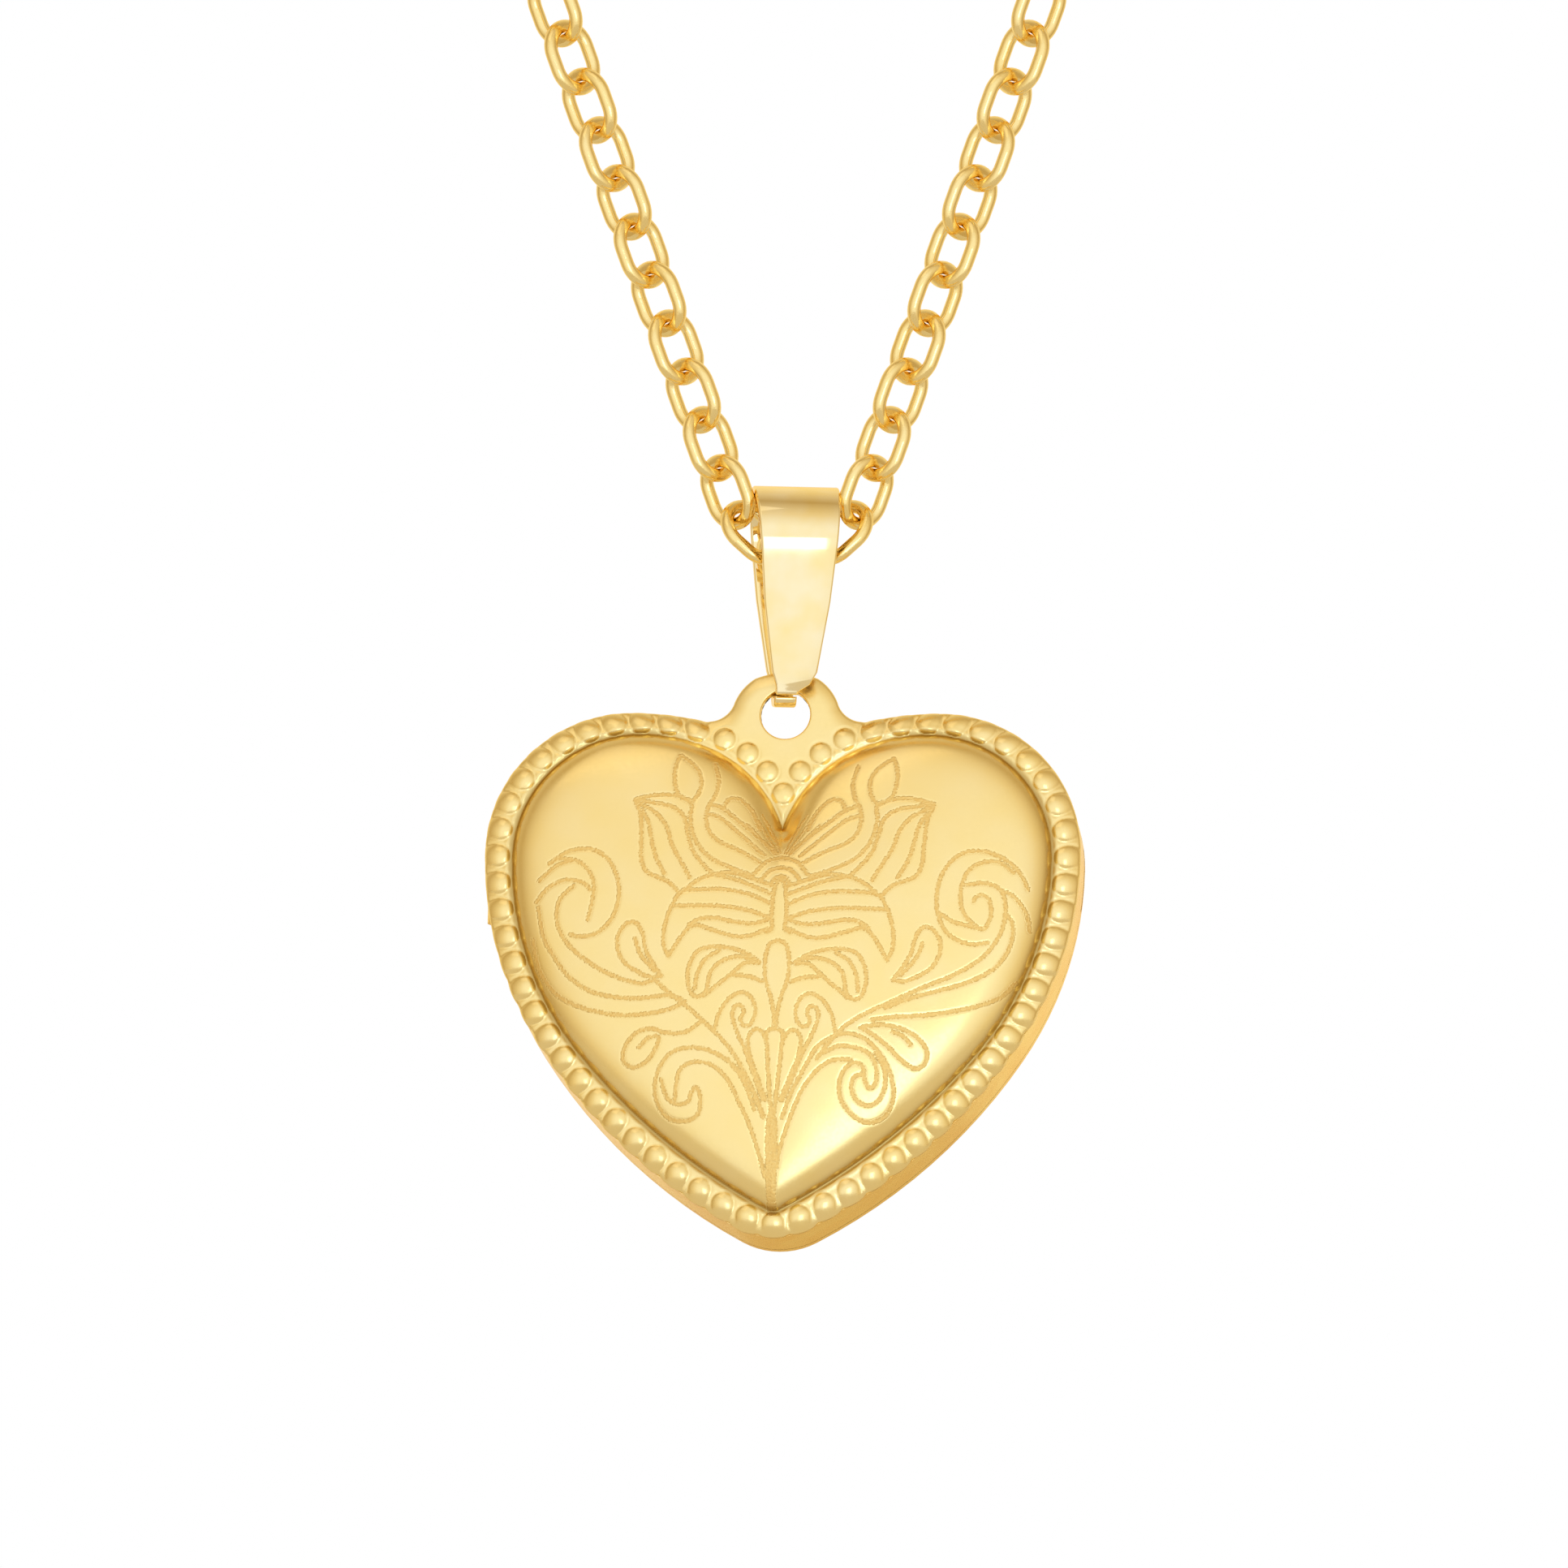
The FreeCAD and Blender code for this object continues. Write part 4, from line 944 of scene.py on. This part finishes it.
def bail_mesh():
    """The strip's section swept along its middle, with the two ends closed."""
    builder = Builder()
    rings = []
    for (y, z), (ny, nz) in bail_centre_line():
        section = np.array(bail_section(half_width(BAIL_LEFT, z), half_width(BAIL_RIGHT, z)))
        rings.append(builder.add(section[:, 0], y + ny * section[:, 1], z + nz * section[:, 1]))
    for a, b in zip(rings, rings[1:]):
        builder.strip(a, b)
    builder.faces.append(rings[0].tolist())
    builder.faces.append(rings[-1][::-1].tolist())
    return builder.mesh("bail")


# ---------------------------------------------------------------- materials

class Nodes:
    """A material with a principled shader, and short ways to add nodes to it.

    Textures lie in the object's own space in mm, and distances are in mm.
    """

    def __init__(self, name):
        self.material = bpy.data.materials.new(name)
        self.material.use_nodes = True
        self.tree = self.material.node_tree
        self.shader = self.tree.nodes["Principled BSDF"]
        place = self.tree.nodes.new("ShaderNodeTexCoord").outputs["Object"]
        scale = self.tree.nodes.new("ShaderNodeVectorMath")
        scale.operation = "SCALE"
        scale.inputs["Scale"].default_value = 1 / MM
        self.link(place, scale.inputs[0])
        self.place = scale.outputs[0]

    def link(self, a, b):
        self.tree.links.new(a, b)

    def metal(self):
        """Bare gold metal, whose grazing reflections stay warm."""
        self.shader.inputs["Metallic"].default_value = 1
        self.shader.inputs["Specular Tint"].default_value = (*EDGE_TINT, 1)

    def stored(self, name):
        """A value that the mesh stores at its points."""
        node = self.tree.nodes.new("ShaderNodeAttribute")
        node.attribute_name = name
        return node.outputs["Fac"]

    def noise(self, scale, detail=2.0):
        node = self.tree.nodes.new("ShaderNodeTexNoise")
        node.inputs["Scale"].default_value = scale
        node.inputs["Detail"].default_value = detail
        self.link(self.place, node.inputs["Vector"])
        return node.outputs["Fac"]

    def spread(self, value, low, high, from_low=0.3, from_high=0.7):
        """Maps from_low..from_high, where most of a noise lies, to low..high."""
        node = self.tree.nodes.new("ShaderNodeMapRange")
        self.link(value, node.inputs["Value"])
        for name, number in (("From Min", from_low), ("From Max", from_high),
                             ("To Min", low), ("To Max", high)):
            node.inputs[name].default_value = number
        return node.outputs["Result"]

    def maths(self, kind, a, b):
        node = self.tree.nodes.new("ShaderNodeMath")
        node.operation = kind
        for socket, value in zip(node.inputs, (a, b)):
            if isinstance(value, (int, float)):
                socket.default_value = value
            else:
                self.link(value, socket)
        return node.outputs[0]

    def mix(self, share, a, b):
        node = self.tree.nodes.new("ShaderNodeMix")
        node.data_type = "RGBA"
        self.link(share, node.inputs["Factor"])
        for socket, value in ((node.inputs[6], a), (node.inputs[7], b)):
            if isinstance(value, tuple):
                socket.default_value = (*value, 1)
            else:
                self.link(value, socket)
        return node.outputs[2]

    def bump(self, height, distance):
        node = self.tree.nodes.new("ShaderNodeBump")
        node.inputs["Strength"].default_value = 1
        node.inputs["Distance"].default_value = distance * MM
        self.link(height, node.inputs["Height"])
        self.link(node.outputs["Normal"], self.shader.inputs["Normal"])


# colours, as shares of red, green and blue light
GOLD = (1.0, 0.79, 0.34)
PALE_GOLD = (1.0, 0.81, 0.39)
DEEP_GOLD = (0.97, 0.69, 0.27)
ETCHED = (0.93, 0.67, 0.25)
# dark colour for the painted shade in the dome's groove and the painted shadow in the edge's seam
PAINTED_SHADE_COLOUR = (0.5, 0.33, 0.1)
BAIL_GOLD = (1.0, 0.87, 0.56)
EDGE_TINT = (1.0, 0.78, 0.42)


def gold(name, colour, other, rough_low, rough_high, grain, bump=0.0):
    """Gold plate: cloudy in colour, with a fine grain in its gloss and maybe in its relief."""
    nodes = Nodes(name)
    nodes.metal()
    cloud = nodes.spread(nodes.noise(0.7), 0, 1)
    nodes.link(nodes.mix(cloud, colour, other), nodes.shader.inputs["Base Color"])
    fine = nodes.noise(grain)
    nodes.link(nodes.spread(fine, rough_low, rough_high), nodes.shader.inputs["Roughness"])
    if bump:
        nodes.bump(nodes.noise(grain * 2), bump)
    return nodes.material


def engraved_gold():
    """Satin gold whose engraved lines are matt, darker and stippled, with painted shade that darkens
    its groove and its edge seam.
    """
    nodes = Nodes("engraved_gold")
    nodes.metal()
    etch = nodes.stored("etch")
    stipple = nodes.noise(11, 3)
    dots = nodes.spread(stipple, -0.45, 0.45)
    dots = nodes.maths("MULTIPLY", dots, nodes.spread(etch, 0, 1, 0, 0.5))
    share = nodes.spread(nodes.maths("ADD", etch, dots), 0, 1, 0.25, 0.8)

    plain = nodes.mix(nodes.spread(nodes.noise(0.5), 0, 1), PALE_GOLD, GOLD)
    colour = nodes.mix(share, plain, ETCHED)
    # painted shade and shadow: the gold darkened in the groove at the dome's foot and in the seam at
    # the edge
    colour = nodes.mix(nodes.stored("groove"), colour, PAINTED_SHADE_COLOUR)
    nodes.link(colour, nodes.shader.inputs["Base Color"])

    satin = nodes.spread(nodes.noise(7), 0.2, 0.27)
    satin = nodes.maths("MULTIPLY", satin, nodes.maths("SUBTRACT", 1.0, share))
    matt = nodes.maths("MULTIPLY", nodes.spread(stipple, 0.34, 0.6), share)
    nodes.link(nodes.maths("ADD", satin, matt), nodes.shader.inputs["Roughness"])
    nodes.bump(nodes.maths("MULTIPLY", stipple, nodes.maths("ADD", 0.04, share)), 0.03)
    return nodes.material


def clear_sheet():
    """Slightly uneven clear plastic for the photo windows."""
    nodes = Nodes("clear_window")
    nodes.shader.inputs["Base Color"].default_value = (0.97, 0.97, 0.95, 1)
    nodes.shader.inputs["IOR"].default_value = 1.49
    nodes.shader.inputs["Transmission Weight"].default_value = 1
    nodes.link(nodes.spread(nodes.noise(3), 0.03, 0.09), nodes.shader.inputs["Roughness"])
    return nodes.material


def steel():
    nodes = Nodes("spring_steel")
    nodes.link(nodes.mix(nodes.spread(nodes.noise(4), 0, 1), (0.62, 0.62, 0.63), (0.5, 0.5, 0.52)),
               nodes.shader.inputs["Base Color"])
    nodes.shader.inputs["Metallic"].default_value = 1
    nodes.link(nodes.spread(nodes.noise(12), 0.2, 0.35), nodes.shader.inputs["Roughness"])
    return nodes.material


def paint(names, material):
    """Gives CAD pieces one material, and changes nothing else about them."""
    for name in names:
        obj = frame["nodes"][name]
        obj.data.materials.clear()
        obj.data.materials.append(material)


def finishes():
    """A material on every CAD piece that keeps its own mesh."""
    chain = [name for name in frame["nodes"] if "link" in name]
    chain += ["left_jump_ring", "right_end_ring"]
    paint(chain, gold("chain_gold", GOLD, PALE_GOLD, 0.1, 0.2, 6, 0.004))
    paint(["clasp_body", "clasp_lever", "clasp_pin"],
          gold("clasp_gold", GOLD, PALE_GOLD, 0.08, 0.16, 5, 0.003))
    paint(["clasp_spring"], steel())
    paint(["rim_band", "back_cover"], gold("wall_gold", GOLD, DEEP_GOLD, 0.2, 0.32, 11, 0.003))
    paint(["body_hinge_knuckles", "cover_hinge_knuckle", "hinge_pin", "catch_keeper",
           "catch_tongue"], gold("fitting_gold", GOLD, DEEP_GOLD, 0.12, 0.22, 8, 0.003))
    paint(["front_photo_frame", "back_photo_frame"],
          gold("holder_gold", PALE_GOLD, GOLD, 0.15, 0.25, 8, 0.003))
    paint(["front_photo_window", "back_photo_window"], clear_sheet())


# ---------------------------------------------------------------- studio

# the room's colour at right angles to the view's direction, and on the way to its two ends,
# which are white; HALF_AT and WHITE_FROM are shares of that way
SIDE_WALL = (0.52, 0.38, 0.19)
HALF_WALL = (0.84, 0.73, 0.54)
HALF_AT = 0.55
WHITE_FROM = 0.88
WHITE = (1.0, 1.0, 1.0)
FLOOR_RADIUS = 0.09
FLOOR_DROP = 0.02


def aim(obj, target):
    obj.rotation_euler = (target - obj.location).to_track_quat("-Z", "Y").to_euler()


def soft_light(name, place, target, side, power, colour):
    """A square light that faces the target."""
    light = bpy.data.lights.new(name, "AREA")
    light.size = side
    light.energy = power
    light.color = colour
    obj = bpy.data.objects.new(name, light)
    obj.location = place
    bpy.context.scene.collection.objects.link(obj)
    aim(obj, target)


def floor():
    """A pale disc below the part."""
    corners = 96
    turns = [2 * PI * i / corners for i in range(corners)]
    ring = [(FLOOR_RADIUS * math.cos(turn), FLOOR_RADIUS * math.sin(turn), 0) for turn in turns]
    mesh = bpy.data.meshes.new("floor")
    mesh.from_pydata(ring, [], [list(range(corners))])
    nodes = Nodes("pale_floor")
    nodes.link(nodes.mix(nodes.noise(0.05), (0.86, 0.86, 0.86), (0.9, 0.9, 0.9)),
               nodes.shader.inputs["Base Color"])
    nodes.shader.inputs["Roughness"].default_value = 0.6
    mesh.materials.append(nodes.material)
    disc = bpy.data.objects.new("floor", mesh)
    middle = (Vector(cad_box[0]) + Vector(cad_box[1])) / 2
    disc.location = (middle.x, middle.y, cad_box[0][2] - FLOOR_DROP)
    bpy.context.scene.collection.objects.link(disc)


def lights():
    heart = Vector((0, 0, cad_box[0][2] + 0.012))
    front = heart + Vector((0.05, -0.3, -0.02))
    soft_light("front_light", front, heart, 0.12, 0.06, (0.6, 0.8, 1))
    top = heart + Vector((-0.1, -0.12, 0.3))
    soft_light("top_light", top, heart, 0.2, 0.03, (1, 0.98, 0.95))


def room():
    """A room white ahead and behind and warm all round the middle, which steep gold mirrors."""
    world = bpy.data.worlds.new("white_room")
    world.use_nodes = True
    tree = world.node_tree
    way = tree.nodes.new("ShaderNodeTexCoord").outputs["Generated"]
    split = tree.nodes.new("ShaderNodeSeparateXYZ")
    tree.links.new(way, split.inputs[0])
    depth = tree.nodes.new("ShaderNodeMath")
    depth.operation = "ABSOLUTE"
    tree.links.new(split.outputs["Y"], depth.inputs[0])
    ramp = tree.nodes.new("ShaderNodeValToRGB")
    tree.links.new(depth.outputs[0], ramp.inputs["Fac"])
    stops = ramp.color_ramp.elements
    stops[0].position, stops[0].color = 0.0, (*SIDE_WALL, 1)
    stops[1].position, stops[1].color = WHITE_FROM, (*WHITE, 1)
    stops.new(HALF_AT).color = (*HALF_WALL, 1)
    background = tree.nodes["Background"]
    tree.links.new(ramp.outputs["Color"], background.inputs["Color"])
    background.inputs["Strength"].default_value = 1.0
    bpy.context.scene.world = world
    bpy.context.scene.view_settings.view_transform = "Standard"


def camera():
    """Level, from the front, and far away with a long lens that takes in view_width."""
    view_width = 64.4 * MM
    distance = 0.9
    centre = Vector((-0.53 * MM, 0, -34.34 * MM))
    data = bpy.data.cameras.new("camera")
    data.lens = data.sensor_width * distance / view_width
    data.clip_start = 0.01
    obj = bpy.data.objects.new("camera", data)
    obj.location = centre + Vector((0, -distance, 0))
    obj.rotation_euler = (PI / 2, 0, 0)
    bpy.context.scene.collection.objects.link(obj)
    bpy.context.scene.camera = obj


# ---------------------------------------------------------------- scene

for leftover in list(bpy.data.objects):
    if leftover.name in ("Cube", "Light", "Camera"):
        bpy.data.objects.remove(leftover)

cover = add_piece(
    "engraved_cover", cover_mesh(), heart_matrix(), "heart", "front_cover")
cover.data.materials.append(engraved_gold())
bail = add_piece("folded_bail", bail_mesh(), bail_matrix(), "bail", "bail_strap")
bail.data.materials.append(gold("bail_gold", BAIL_GOLD, PALE_GOLD, 0.06, 0.1, 0.6))
finishes()
floor()
lights()
room()
camera()
